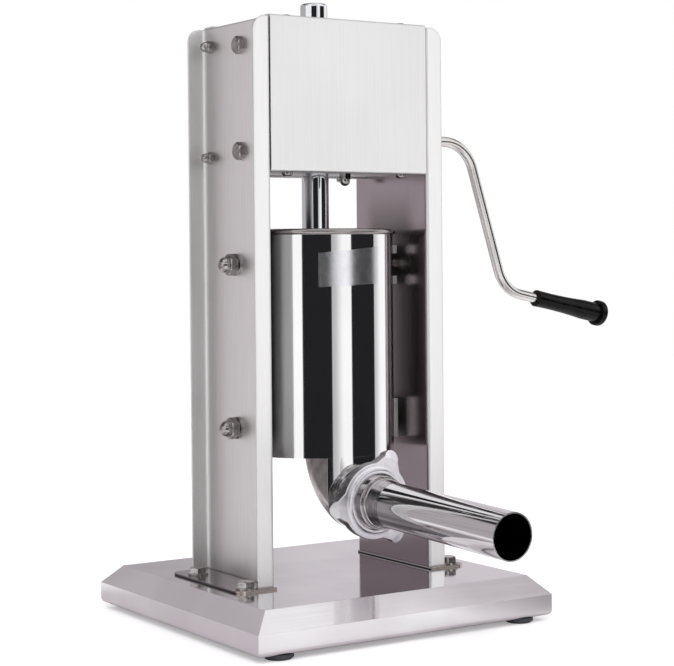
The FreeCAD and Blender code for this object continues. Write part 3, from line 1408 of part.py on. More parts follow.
def build():
    base_tray()
    feet()
    for label, side in SIDES:
        column(label + "_column", side)
        side_plate(label + "_side_plate", side)
    node("column_foot_plates", group("column_foot_plates", [
        foot_plate(label + "_foot_plate", side) for label, side in SIDES]))
    base_bolts()
    gearbox_cover("gearbox_front_cover", "-column_front", 1, True)
    gearbox_cover("gearbox_rear_cover", "column_back", -1, False)
    box_plate("gearbox_floor", "floor_bottom", "floor_bottom", "z", True)
    box_plate("gearbox_ceiling", "ceiling_bottom", "ceiling_top", "-z", False)
    gearbox_fasteners()
    bushes()
    gear_train()
    rack_rod()
    piston()
    air_valve()
    barrel()
    barrel_lugs()
    barrel_pins()
    spout()
    nozzle_nut()
    stuffing_tube()
    crank()
    grip()
    doc.recompute()


def export():
    """Checks every object and writes each sub-part to its own file."""
    faults = [made.Label for made in doc.Objects if {"Invalid", "Error"} & set(made.State)]
    if faults:
        raise RuntimeError("failed objects: " + ", ".join(faults))
    os.makedirs("parts", exist_ok=True)
    for made in nodes:
        if made.Shape.isNull() or not made.Shape.isValid():
            raise RuntimeError("bad shape: " + made.Label)
        made.Shape.exportStep("parts/%s.step" % made.Label)
    print(len(nodes), "nodes written")


build()
export()
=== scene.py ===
import math

import bmesh
import bpy
from mathutils import Matrix, Vector


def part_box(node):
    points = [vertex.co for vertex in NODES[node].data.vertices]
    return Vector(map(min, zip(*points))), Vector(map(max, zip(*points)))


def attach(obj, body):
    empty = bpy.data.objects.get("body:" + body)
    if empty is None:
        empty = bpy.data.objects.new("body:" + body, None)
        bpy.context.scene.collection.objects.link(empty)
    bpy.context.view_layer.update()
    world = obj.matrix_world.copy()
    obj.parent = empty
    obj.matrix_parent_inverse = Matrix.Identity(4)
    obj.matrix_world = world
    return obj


# Looks for a hand-cranked vertical sausage stuffer made of stainless steel.
# Metres, in the row frame: X right, Y to the back, Z up, and the stuffing tube points to -Y.

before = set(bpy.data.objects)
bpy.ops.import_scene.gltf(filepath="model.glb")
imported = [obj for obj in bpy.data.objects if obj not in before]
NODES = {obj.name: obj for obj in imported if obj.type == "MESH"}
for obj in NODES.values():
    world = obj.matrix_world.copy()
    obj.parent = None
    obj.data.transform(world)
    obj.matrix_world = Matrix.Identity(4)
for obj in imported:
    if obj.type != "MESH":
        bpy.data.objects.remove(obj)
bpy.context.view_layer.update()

PHOTO_WIDTH = 674
PHOTO_HEIGHT = 666
MM = 0.001

# The outlet's axis: a point on it inside the chute, and its droop.
OUTLET = Vector((0, -60, 115.8)) * MM
DROOP = math.radians(2.1)
OUTLET_AXIS = Vector((0, -math.cos(DROOP), -math.sin(DROOP)))

# Along that axis, where the tube's turned root meets its polished pipe.
TUBE_ROOT = 66 * MM

# The outside of the barrel's wall, under its rolled rim, and its lower and upper ends.
BARREL_RADIUS = 71 * MM
BARREL_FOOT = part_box("barrel")[0][2]
BARREL_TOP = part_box("barrel")[1][2]

# Edges that turn by more than this stay crisp.
CRISP = math.radians(28)

# A noise mostly stays within such a span. A tone or a gloss runs its whole way across it, so
# a closer span gives more contrast.
WIDE = (0.35, 0.65)
CLOSE = (0.38, 0.62)
CLOSER = (0.4, 0.6)

# Across the machine's middle: the left column lies before this span, the right one past it.
LEFT_TO_RIGHT = (-50 * MM, 50 * MM)


def tint(code):
    """An sRGB hex colour as linear red, green, blue and alpha."""
    channels = [int(code[i:i + 2], 16) / 255 for i in (1, 3, 5)]
    linear = [c / 12.92 if c <= 0.04045 else ((c + 0.055) / 1.055) ** 2.4 for c in channels]
    return (*linear, 1.0)


def put(tree, kind, sockets=None, **settings):
    """Adds a node. Its settings are its own, and its sockets take values or other outputs."""
    made = tree.nodes.new(kind)
    for name, setting in settings.items():
        setattr(made, name, setting)
    for socket, source in (sockets or {}).items():
        if isinstance(source, bpy.types.NodeSocket):
            tree.links.new(source, made.inputs[socket])
        else:
            made.inputs[socket].default_value = source
    return made


def start_material(name):
    """A new material: its node tree, its shader and the object's own coordinates."""
    material = bpy.data.materials.new(name)
    material.use_nodes = True
    tree = material.node_tree
    shader = tree.nodes["Principled BSDF"]
    place = put(tree, "ShaderNodeTexCoord").outputs["Object"]
    return material, tree, shader, place


def streaks(tree, place, across, along, direction="z", detail=3.0, offset=0.0):
    """Noise drawn out along one direction: widths across and along the grain in millimetres."""
    scale = [1 / (across * MM)] * 3
    scale["xyz".index(direction)] = 1 / (along * MM)
    stretched = put(tree, "ShaderNodeMapping", {"Vector": place, "Scale": scale,
                                                "Location": (offset, offset, offset)})
    return put(tree, "ShaderNodeTexNoise", {"Vector": stretched.outputs[0], "Scale": 1.0,
                                            "Detail": detail, "Roughness": 0.55}).outputs["Fac"]


def clouds(tree, place, size, detail=2.0, offset=0.0):
    """Soft blotches of a size in millimetres."""
    return streaks(tree, place, size, size, detail=detail, offset=offset)


def between(tree, amount, first, second, span=WIDE):
    """Goes from first to second, two values or two colours, while an amount crosses its span.
    An amount that is a mask already, from 0 to 1, comes with no span."""
    ends = (first, second)
    numbers = not any(isinstance(end, (tuple, bpy.types.NodeSocket)) for end in ends)
    if span:
        low, high = ends if numbers else (0, 1)
        amount = put(tree, "ShaderNodeMapRange", {"Value": amount, "From Min": span[0],
                                                  "From Max": span[1], "To Min": low,
                                                  "To Max": high}).outputs["Result"]
        if numbers:
            return amount
    # The two pairs of ends share their names on this node, so all its sockets go by number.
    if any(isinstance(end, tuple) or getattr(end, "type", "") == "RGBA" for end in ends):
        sockets = {0: amount, 6: first, 7: second}
        return put(tree, "ShaderNodeMix", sockets, data_type="RGBA").outputs[2]
    return put(tree, "ShaderNodeMix", {0: amount, 2: first, 3: second}).outputs[0]


def window(tree, amount, low, high, soft):
    """1 between low and high, with soft edges."""
    rise = put(tree, "ShaderNodeMapRange", {"Value": amount, "From Min": low - soft,
                                            "From Max": low + soft},
               interpolation_type="SMOOTHSTEP").outputs["Result"]
    fall = put(tree, "ShaderNodeMapRange", {"Value": amount, "From Min": high - soft,
                                            "From Max": high + soft, "To Min": 1.0,
                                            "To Max": 0.0},
               interpolation_type="SMOOTHSTEP").outputs["Result"]
    return put(tree, "ShaderNodeMath", {0: rise, 1: fall}, operation="MULTIPLY").outputs[0]


def average(tree, one, other):
    """The mean of two patterns."""
    both = put(tree, "ShaderNodeMath", {0: one, 1: other}, operation="ADD").outputs[0]
    return put(tree, "ShaderNodeMath", {0: both, 1: 0.5}, operation="MULTIPLY").outputs[0]


def facing(tree):
    """Which way the face looks, split into X, Y and Z."""
    normal = put(tree, "ShaderNodeNewGeometry").outputs["True Normal"]
    return put(tree, "ShaderNodeSeparateXYZ", {0: normal}).outputs


def relief(tree, shader, height, depth, edge=0.4):
    """Bump from a height pattern, its full depth in millimetres, over slightly broken edges."""
    worn = put(tree, "ShaderNodeBevel", {"Radius": edge * MM}, samples=4)
    bump = put(tree, "ShaderNodeBump", {"Height": height, "Distance": depth * MM,
                                        "Normal": worn.outputs["Normal"]})
    tree.links.new(bump.outputs["Normal"], shader.inputs["Normal"])


def bare_metal(tree, shader, colour, roughness, height, depth, edge=0.4):
    """Puts a bare metal's colour, gloss and relief on its shader."""
    tree.links.new(colour, shader.inputs["Base Color"])
    shader.inputs["Metallic"].default_value = 1.0
    tree.links.new(roughness, shader.inputs["Roughness"])
    relief(tree, shader, height, depth, edge)


def worked_steel(name, dark, light, smooth, rough, across, along, direction="z", depth=0.004,
                 smudge=60, edge=0.4):
    """Bare metal with a worked grain: two close tones and a varying roughness along it."""
    material, tree, shader, place = start_material(name)
    grain = streaks(tree, place, across, along, direction)
    cloud = clouds(tree, place, smudge)
    tone = between(tree, average(tree, grain, cloud), tint(dark), tint(light), CLOSE)
    bare_metal(tree, shader, tone, between(tree, grain, smooth, rough), grain, depth, edge)
    return material


# Metals
def brushed_columns():
    """304 sheet, belt brushed along the columns: a satin sheen with fine upright lines. Flanges,
    web outside and web inside get tones of their own, painted light. The faces that look at the
    barrel are left as the mill finished them, a soft mirror that is rougher where the barrel
    stands close, with painted shade there."""
    material, tree, shader, place = start_material("brushed_304_columns")
    grain = streaks(tree, place, 0.7, 90)
    fine = streaks(tree, place, 0.35, 40, offset=7.0)
    lines = average(tree, grain, fine)
    looks = facing(tree)
    where = put(tree, "ShaderNodeSeparateXYZ", {0: place}).outputs
    outward = put(tree, "ShaderNodeMath", {0: looks["X"], 1: where["X"]},
                  operation="MULTIPLY").outputs[0]

    # How far out a face lies, counted the way it looks: the web's inner side is below zero.
    inner = between(tree, outward, 1, 0, (-75 * MM, -60 * MM))
    outer = between(tree, outward, 0, 1, (30 * MM, 75 * MM))

    # Painted light on the web's outside: it is painted lighter towards the front, with a painted
    # highlight, a bright stripe at the rear fold. The flanges get a brighter tone of their own,
    # painted light too.
    share = between(tree, lines, 0, 1, CLOSE)
    flange = between(tree, share, tint("#F0EFEF"), tint("#F8F7F7"), None)
    rear = between(tree, share, tint("#C6C3C3"), tint("#D3D0D0"), None)
    front = between(tree, share, tint("#D8D5D5"), tint("#E6E3E3"), None)
    forward = between(tree, where["Y"], 1, 0, (-55 * MM, 45 * MM))
    side = between(tree, forward, rear, front, None)
    outside = between(tree, where["Y"], side, tint("#F6F5F5"), (50 * MM, 56 * MM))

    # The web's inside has painted shade beside the barrel, where it is also rougher, and is
    # darker low down on the right.
    beside_barrel = window(tree, where["Z"], BARREL_FOOT + 3.6 * MM, BARREL_TOP + 19.6 * MM,
                           25 * MM)
    across_barrel = window(tree, where["Y"], -35 * MM, 35 * MM, 13 * MM)
    middle = put(tree, "ShaderNodeMath", {0: across_barrel, 1: beside_barrel},
                 operation="MULTIPLY").outputs[0]
    # Painted shade beside the barrel, darkest on the left column.
    barrel_shade = between(tree, where["X"], tint("#454444"), tint("#8E8989"), LEFT_TO_RIGHT)
    upper = between(tree, share, tint("#BBB1B5"), tint("#C5BBBF"), None)
    high_up = between(tree, where["Z"], 0, 1, (100 * MM, 220 * MM))
    right = between(tree, high_up, tint("#9A9095"), upper, None)
    inside_off_barrel = between(tree, where["X"], tint("#C8C8C8"), right, LEFT_TO_RIGHT)
    inside = between(tree, middle, inside_off_barrel, barrel_shade, None)
    shown = between(tree, inner, between(tree, outer, flange, outside, None), inside, None)

    satin = between(tree, grain, 0.42, 0.5)
    bright = between(tree, where["X"], 0.34, 0.19, LEFT_TO_RIGHT)
    soft = between(tree, middle, bright, 0.32, None)
    bare_metal(tree, shader, shown, between(tree, inner, satin, soft, None), lines, 0.003,
               edge=2.2)
    return material


def brushed_cover():
    """304 sheet, brushed upright: the gear box covers, a touch softer than the columns."""
    return worked_steel("brushed_304_covers", "#E4E3E3", "#EEEDED", 0.42, 0.5, 0.6, 120,
                        depth=0.002, smudge=150)


def polished_tray():
    """304 sheet, buffed nearly to a mirror: it shows the columns, with a faint haze. The folded
    sides are painted brighter than the top, a painted reflection."""
    material, tree, shader, place = start_material("buffed_304_tray")
    grain = streaks(tree, place, 1.2, 140, "x")
    share = between(tree, clouds(tree, place, 90), 0, 1, CLOSE)
    # Painted reflection: the top gets a darker tone than the folded sides.
    top = between(tree, share, tint("#CFCDD0"), tint("#DCDADD"), None)
    folded = between(tree, share, tint("#E8E4E8"), tint("#F2EFF2"), None)
    shown = between(tree, facing(tree)["Z"], folded, top, (0.85, 0.97))
    bare_metal(tree, shader, shown, between(tree, grain, 0.07, 0.12), grain, 0.002)
    return material


def mirror_barrel():
    """Drawn and polished 304: a mirror, with faint lengthwise drawing lines. The rolled rim,
    which the buffing wheel doesn't reach, stays grey."""
    material, tree, shader, place = start_material("polished_304_barrel")
    grain = streaks(tree, place, 0.8, 180)
    wall = between(tree, clouds(tree, place, 120), tint("#F6F5F6"), tint("#FDFCFD"), CLOSE)
    rim = BARREL_TOP - 5.4 * MM
    height = put(tree, "ShaderNodeSeparateXYZ", {0: place}).outputs["Z"]
    rolled = between(tree, height, 0, 1, (rim - 0.2 * MM, rim + 0.2 * MM))
    shown = between(tree, rolled, wall, tint("#A19D9C"), None)
    finish = between(tree, rolled, between(tree, grain, 0.035, 0.06), 0.18, None)
    bare_metal(tree, shader, shown, finish, grain, 0.0006, edge=0.02)
    return material


def frosted_film():
    """A frosted polyester film stuck to the barrel: the mirror under it shows milky and soft."""
    return worked_steel("frosted_film_on_steel", "#F2F2F7", "#FAFAFF", 0.2, 0.23, 3, 3,
                        depth=0.001, smudge=12, edge=0.02)


def plated_rod():
    """Ground and hard chromed steel: a hard mirror with a trace of blue."""
    return worked_steel("chromed_rod", "#E6E8EC", "#F2F4F7", 0.03, 0.05, 0.5, 60,
                        depth=0.0005)


def polished_tube():
    """Rolled and polished 304 tube, with long draw lines. Its root, up to the weld, is turned
    on a lathe, so it is duller and greyer."""
    material, tree, shader, place = start_material("polished_304_tube")
    grain = streaks(tree, place, 0.7, 160, "y")
    rings = streaks(tree, place, 8, 0.9, "y", offset=2.0)
    share = between(tree, grain, 0, 1, CLOSE)
    along = put(tree, "ShaderNodeSeparateXYZ", {0: place}).outputs["Y"]
    weld = OUTLET.y + TUBE_ROOT * OUTLET_AXIS.y
    root = between(tree, along, 0, 1, (weld - 0.3 * MM, weld + 0.3 * MM))
    pipe = between(tree, share, tint("#D8D6D8"), tint("#E6E4E5"), None)
    turned = between(tree, rings, tint("#A5A0A3"), tint("#C9C5C8"))
    shown = between(tree, root, pipe, turned, None)
    finish = between(tree, root, between(tree, grain, 0.04, 0.07),
                     between(tree, rings, 0.12, 0.22), None)
    lines = between(tree, root, grain, rings, None)
    bare_metal(tree, shader, shown, finish, lines, 0.0012)
    return material


def polished_chute():
    """Welded 304, polished by hand: hazy, with a straw tint. The front wall, where the
    barrel's own sheet carries on, keeps the barrel's mirror."""
    material, tree, shader, place = start_material("hand_polished_304_chute")
    grain = streaks(tree, place, 1.2, 14, detail=2.0)
    worn = between(tree, clouds(tree, place, 16), tint("#989292"), tint("#B5AEAD"), CLOSER)
    level = put(tree, "ShaderNodeVectorMath", {0: place, 1: (1, 1, 0)}, operation="MULTIPLY")
    radius = put(tree, "ShaderNodeVectorMath", {0: level.outputs[0]},
                 operation="LENGTH").outputs["Value"]
    front = between(tree, radius, 0, 1, (BARREL_RADIUS - 0.6 * MM, BARREL_RADIUS - 0.2 * MM))
    shown = between(tree, front, worn, tint("#F6F5F6"), None)
    finish = between(tree, front, between(tree, grain, 0.08, 0.16), 0.05, None)
    bare_metal(tree, shader, shown, finish, grain, 0.003, edge=0.02)
    return material


def turned_collar():
    """304 turned on a lathe, then rubbed down at the weld: mottled grey with soft streaks."""
    return worked_steel("turned_304_collar", "#6A6667", "#D0CCCD", 0.18, 0.28, 9, 3, "y",
                        depth=0.006, smudge=7)


def cast_nut():
    """Cast aluminium, tumbled and faced: a pale satin front, sides painted darker as painted
    shade, and a bore painted darker still, also painted shade."""
    material, tree, shader, place = start_material("tumbled_cast_nut")
    cloud = clouds(tree, place, 9)
    grit = clouds(tree, place, 0.5, detail=3.0, offset=3.0)
    share = between(tree, cloud, 0, 1, CLOSER)
    face = between(tree, share, tint("#DAD7DD"), tint("#E8E5E9"), None)
    # Painted shade: the outer sides get a darker tone than the front.
    outside = between(tree, share, tint("#6E6B70"), tint("#8B878C"), None)
    normal = put(tree, "ShaderNodeNewGeometry").outputs["True Normal"]
    forward = put(tree, "ShaderNodeVectorMath", {0: normal, 1: tuple(OUTLET_AXIS)},
                  operation="DOT_PRODUCT").outputs["Value"]
    spoke = put(tree, "ShaderNodeVectorMath", {0: place, 1: tuple(OUTLET)},
                operation="SUBTRACT").outputs[0]
    level = put(tree, "ShaderNodeVectorMath", {0: spoke, 1: (1, 0, 1)}, operation="MULTIPLY")
    outward = put(tree, "ShaderNodeVectorMath", {0: level.outputs[0], 1: normal},
                  operation="DOT_PRODUCT").outputs["Value"]
    # Painted shade in the bore: faces that look inward are darkest.
    side = between(tree, outward, tint("#3C3A3D"), outside, (-4 * MM, 4 * MM))
    front = between(tree, forward, 0, 1, (0.1, 0.5))
    shown = between(tree, front, side, face, None)
    bare_metal(tree, shader, shown, between(tree, cloud, 0.32, 0.4), grit, 0.006, edge=0.5)
    return material


def bright_fasteners():
    """A2 stainless bolts and nuts: cold headed and bright, so their edges go dark."""
    return worked_steel("a2_fasteners", "#83807E", "#C2BEBC", 0.05, 0.1, 1.5, 1.5, smudge=4,
                        edge=0.15)


def satin_lugs():
    """Machined 304 lugs and turned bushes, left satin: they read pale beside the polish."""
    return worked_steel("machined_304_lugs", "#E2E0E0", "#EFEDED", 0.4, 0.5, 1.2, 6, smudge=10)


def satin_crank():
    """Bent and belt polished 304 bar: a soft sheen with fine marks along the crank's arm."""
    return worked_steel("satin_304_crank", "#D5D2D0", "#E8E5E3", 0.14, 0.24, 0.6, 8, "x",
                        depth=0.002, smudge=30)


def sheared_plates():
    """Foot plates of bright sheet: a warm sheared edge in front, and painted light elsewhere: a
    top painted dark, a painted reflection, inner sides painted lighter than the outer and back
    ones, and a painted contact shadow along the foot of the sides."""
    material, tree, shader, place = start_material("sheared_304_plates")
    grain = streaks(tree, place, 1.0, 40, "y")
    looks = facing(tree)
    # The top's dark tone is a painted reflection.
    top = between(tree, grain, tint("#7C7478"), tint("#938B8F"), None)
    across = put(tree, "ShaderNodeSeparateXYZ", {0: place}).outputs["X"]
    outward = put(tree, "ShaderNodeMath", {0: looks["X"], 1: across},
                  operation="MULTIPLY").outputs[0]
    height = put(tree, "ShaderNodeSeparateXYZ", {0: place}).outputs["Z"]
    # Painted shade: the inner sides lighter than the outer and back ones.
    inner = between(tree, outward, 1, 0, (-50 * MM, -10 * MM))
    side_shading = between(tree, inner, tint("#8C8688"), tint("#B9B5B4"), None)
    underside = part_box("column_foot_plates")[0][2]
    # A painted contact shadow: the lowest millimetre of the sides goes dark.
    contact_shadow = (underside + 0.7 * MM, underside + 1.0 * MM)
    sides = between(tree, height, tint("#242122"), side_shading, contact_shadow)
    front = between(tree, looks["Y"], 1, 0, (-0.9, -0.3))
    edge = between(tree, front, sides, tint("#D6CAC2"), None)
    shown = between(tree, looks["Z"], edge, top, CLOSER)
    bare_metal(tree, shader, shown, between(tree, grain, 0.1, 0.2), grain, 0.003)
    return material


def milled_plate():
    """Milled steel plate inside the gear box: even tool lines."""
    return worked_steel("milled_plate", "#A9A6A5", "#C4C1C0", 0.25, 0.36, 1.5, 80, "y",
                        depth=0.01)


def cut_gears():
    """Hobbed and oiled steel gears: darker, with tool marks along the teeth."""
    return worked_steel("hobbed_gear_steel", "#7F7C7A", "#A09C99", 0.18, 0.3, 1.0, 12, "x",
                        depth=0.01, smudge=12)


def sintered_bronze():
    """Pressed and sintered bronze bushes: warm, fine and slightly porous."""
    material, tree, shader, place = start_material("sintered_bronze")
    pores = clouds(tree, place, 0.6, detail=4.0)
    tone = between(tree, pores, tint("#8A6A3E"), tint("#B98F58"))
    bare_metal(tree, shader, tone, between(tree, pores, 0.45, 0.3), pores, 0.02)
    return material


def cast_piston():
    """Cast and turned aluminium: a pale grey with fine tool marks."""
    return worked_steel("turned_cast_aluminium", "#BFC0C2", "#D8D9DB", 0.28, 0.4, 1.2, 1.2,
                        depth=0.01, smudge=25)


# Plastics and rubbers
def moulded(name, dark, light, smooth, rough, grit, depth, shine=0.5):
    """A moulded part: two close tones, a varying gloss and a fine grain."""
    material, tree, shader, place = start_material(name)
    cloud = clouds(tree, place, 12)
    grain = clouds(tree, place, grit, detail=4.0, offset=5.0)
    tone = between(tree, cloud, tint(dark), tint(light))
    tree.links.new(tone, shader.inputs["Base Color"])
    tree.links.new(between(tree, cloud, smooth, rough), shader.inputs["Roughness"])
    shader.inputs["Specular IOR Level"].default_value = shine
    relief(tree, shader, grain, depth)
    return material


def grip_plastic():
    """Black polypropylene grip, injection moulded: glossy, with a weak mirror."""
    return moulded("black_polypropylene", "#070708", "#121213", 0.16, 0.26, 1.5, 0.01,
                   shine=0.14)


def foot_rubber():
    """Moulded nitrile rubber feet, dull and slightly blue."""
    return moulded("nitrile_rubber", "#2A2A30", "#3A3B42", 0.55, 0.75, 0.8, 0.05)


def food_silicone():
    """Moulded food silicone for the seal and the gasket: milky white, with a soft gloss."""
    return moulded("food_silicone", "#D9D8D2", "#EAE9E4", 0.35, 0.5, 1.0, 0.01)


def dress(material, *names):
    """Gives CAD nodes their finish."""
    for name in names:
        slots = NODES[name].data.materials
        slots.clear()
        slots.append(material)


def dress_all():
    """Every CAD node's finish."""
    dress(brushed_columns(), "left_column", "right_column")
    dress(brushed_cover(), "gearbox_front_cover", "gearbox_rear_cover", "gearbox_floor",
          "gearbox_ceiling")
    dress(polished_tray(), "base_tray")
    dress(sheared_plates(), "column_foot_plates")
    dress(mirror_barrel(), "barrel", "barrel_floor")
    dress(plated_rod(), "rack_rod", "crank_shaft", "drive_shaft")
    dress(polished_tube(), "stuffing_tube")
    dress(polished_chute(), "spout_chute")
    dress(satin_lugs(), "upper_barrel_lugs", "lower_barrel_lugs", "rod_bushes")
    dress(turned_collar(), "outlet_collar")
    dress(cast_nut(), "nozzle_nut")
    dress(satin_crank(), "crank_arm", "crank_hub", "crank_thumb_screw")
    dress(bright_fasteners(), "foot_screws", "foot_nuts", "base_bolts", "base_bolt_washers",
          "base_bolt_nuts", "gearbox_bolts", "gearbox_studs", "gearbox_acorn_nuts",
          "cover_screws", "gearbox_frame_screws", "crank_shaft_clips", "drive_shaft_clips",
          "piston_nut", "piston_washer", "barrel_support_pins", "support_pin_washers",
          "support_pin_cap_nuts", "grip_washer", "grip_screw", "air_valve_seat",
          "air_valve_poppet", "air_valve_clip")
    dress(milled_plate(), "left_side_plate", "right_side_plate")
    dress(cut_gears(), "crank_pinion", "reduction_gear", "rack_pinion", "crank_pinion_key",
          "drive_shaft_keys")
    dress(sintered_bronze(), "crank_shaft_bushes", "drive_shaft_bushes")
    dress(cast_piston(), "piston_disc")
    dress(foot_rubber(), "rubber_feet")
    dress(food_silicone(), "piston_seal", "tube_gasket")
    dress(grip_plastic(), "crank_grip", "grip_end_cap")


# Pieces
def smooth_frame():
    """Rounds stay smooth and edges stay crisp on the CAD pieces."""
    for piece in NODES.values():
        piece.data.shade_smooth()
        piece.data.set_sharp_from_angle(angle=CRISP)


def barrel_film():
    """The blank film on the barrel: a thin bent sheet, which climbs a little to the right."""
    left_bearing, right_bearing = 239.4, 289.0
    inside, outside = BARREL_RADIUS + 0.05 * MM, BARREL_RADIUS + 0.15 * MM
    lower, upper = 303.4 * MM, 333.8 * MM
    lower_climb, upper_climb = 2.5 * MM, 5 * MM
    steps = 24
    sheet = bmesh.new()
    rows = []
    for step in range(steps + 1):
        share = step / steps
        turn = math.radians(left_bearing + (right_bearing - left_bearing) * share)
        bottom = lower + lower_climb * share
        top = upper + upper_climb * share
        section = ((inside, bottom), (outside, bottom), (outside, top), (inside, top))
        rows.append([sheet.verts.new((math.cos(turn) * radius, math.sin(turn) * radius, level))
                     for radius, level in section])
    for first, second in zip(rows, rows[1:]):
        for here in range(4):
            after = (here + 1) % 4
            sheet.faces.new((first[here], second[here], second[after], first[after]))
    sheet.faces.new(rows[0])
    sheet.faces.new(reversed(rows[-1]))
    mesh = bpy.data.meshes.new("barrel_film")
    sheet.to_mesh(mesh)
    sheet.free()
    film = bpy.data.objects.new("barrel_film", mesh)
    bpy.context.scene.collection.objects.link(film)
    mesh.shade_smooth()
    mesh.set_sharp_from_angle(angle=CRISP)
    mesh.materials.append(frosted_film())
    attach(film, "frame")


# Studio
# What polished steel sees of the studio, painted in this order: a card's bearing from +X
# through +Y and its elevation, in degrees, how soft its edges are, and its colour.
CARDS = [
    ("dim back ceiling", (20, 165), (31, 90), 5, "#9D999B"),
    ("back wall", (20, 165), (-90, 31), 3, "#B9B4B7"),
    ("dark upper wall", (62, 122), (32, 45), 2.5, "#6A676A"),
    ("light back window", (38, 60), (-4, 29), 3, "#DDD8DC"),
    ("dark beam over the back", (97, 112), (33, 44), 1.5, "#3B383B"),
    ("shaded edge of the middle gap", (250, 271), (-13, 11), 8, "#BDBDBD"),
    ("shaded edge of the right gap", (320, 342), (-13, 11), 8, "#C6C6C6"),
    ("left flag", (217, 260.5), (-13, 11), 0.8, "#212123"),
    ("right flag", (291, 333.5), (-13, 11), 0.8, "#212123"),
    ("dim right ceiling", (339.5, 358), (40, 72), 2.5, "#BDB8BC"),
]

# The ceiling's dark beams, painted over the cards wherever steel mirrors the ceiling.
BEAMS = [
    ("over the right", (-10, 45), (31, 44), 3, "#524F52"),
    ("the right one's end", (346, 370), (31, 44), 8, "#5E5B5E"),
    ("over the left", (112, 190), (31, 43), 3, "#2A272A"),
    ("over the front", (219, 270), (31, 44), 3, "#262326"),
]

# The satin pieces that the front sheen lights.
SATIN = ("left_column", "right_column", "gearbox_front_cover", "gearbox_rear_cover",
         "nozzle_nut", "upper_barrel_lugs", "lower_barrel_lugs", "rod_bushes")


def studio_world():
    """White for the camera, a plain level for light, and the cards for polished steel."""
    world = bpy.data.worlds.new("studio")
    bpy.context.scene.world = world
    world.use_nodes = True
    tree = world.node_tree
    background = tree.nodes["Background"]
    sky = put(tree, "ShaderNodeTexCoord").outputs["Generated"]
    direction = put(tree, "ShaderNodeSeparateXYZ", {0: sky}).outputs
    turn = put(tree, "ShaderNodeMath", {0: direction["Y"], 1: direction["X"]},
               operation="ARCTAN2").outputs[0]
    degrees = put(tree, "ShaderNodeMath", {0: turn}, operation="DEGREES").outputs[0]
    shifted = put(tree, "ShaderNodeMath", {0: degrees, 1: 360.0}, operation="ADD").outputs[0]
    bearing = put(tree, "ShaderNodeMath", {0: shifted, 1: 360.0}, operation="MODULO").outputs[0]
    rise = put(tree, "ShaderNodeMath", {0: direction["Z"]}, operation="ARCSINE").outputs[0]
    height = put(tree, "ShaderNodeMath", {0: rise}, operation="DEGREES").outputs[0]
    path = put(tree, "ShaderNodeLightPath").outputs
    # The world counts one bounce more than a surface does, so this is 1 in every mirror.
    in_a_mirror = put(tree, "ShaderNodeMath", {0: path["Ray Depth"], 1: 1.5},
                      operation="GREATER_THAN").outputs[0]
    colour = tint("#FFFFFF")
    for cards, shown in ((CARDS, 1.0), (BEAMS, in_a_mirror)):
        for _, bearings, heights, soft, code in cards:
            across = window(tree, bearing, *bearings, soft)
            up = window(tree, height, *heights, soft)
            mask = put(tree, "ShaderNodeMath", {0: across, 1: up}, operation="MULTIPLY")
            card = put(tree, "ShaderNodeMath", {0: mask.outputs[0], 1: shown},
                       operation="MULTIPLY").outputs[0]
            colour = between(tree, card, colour, tint(code), None)
    light, backdrop = (0.85, 0.85, 0.85, 1), (1, 1, 1, 1)
    plain = between(tree, path["Is Camera Ray"], light, backdrop, None)
    seen = between(tree, path["Is Glossy Ray"], plain, colour, None)
    tree.links.new(seen, background.inputs["Color"])


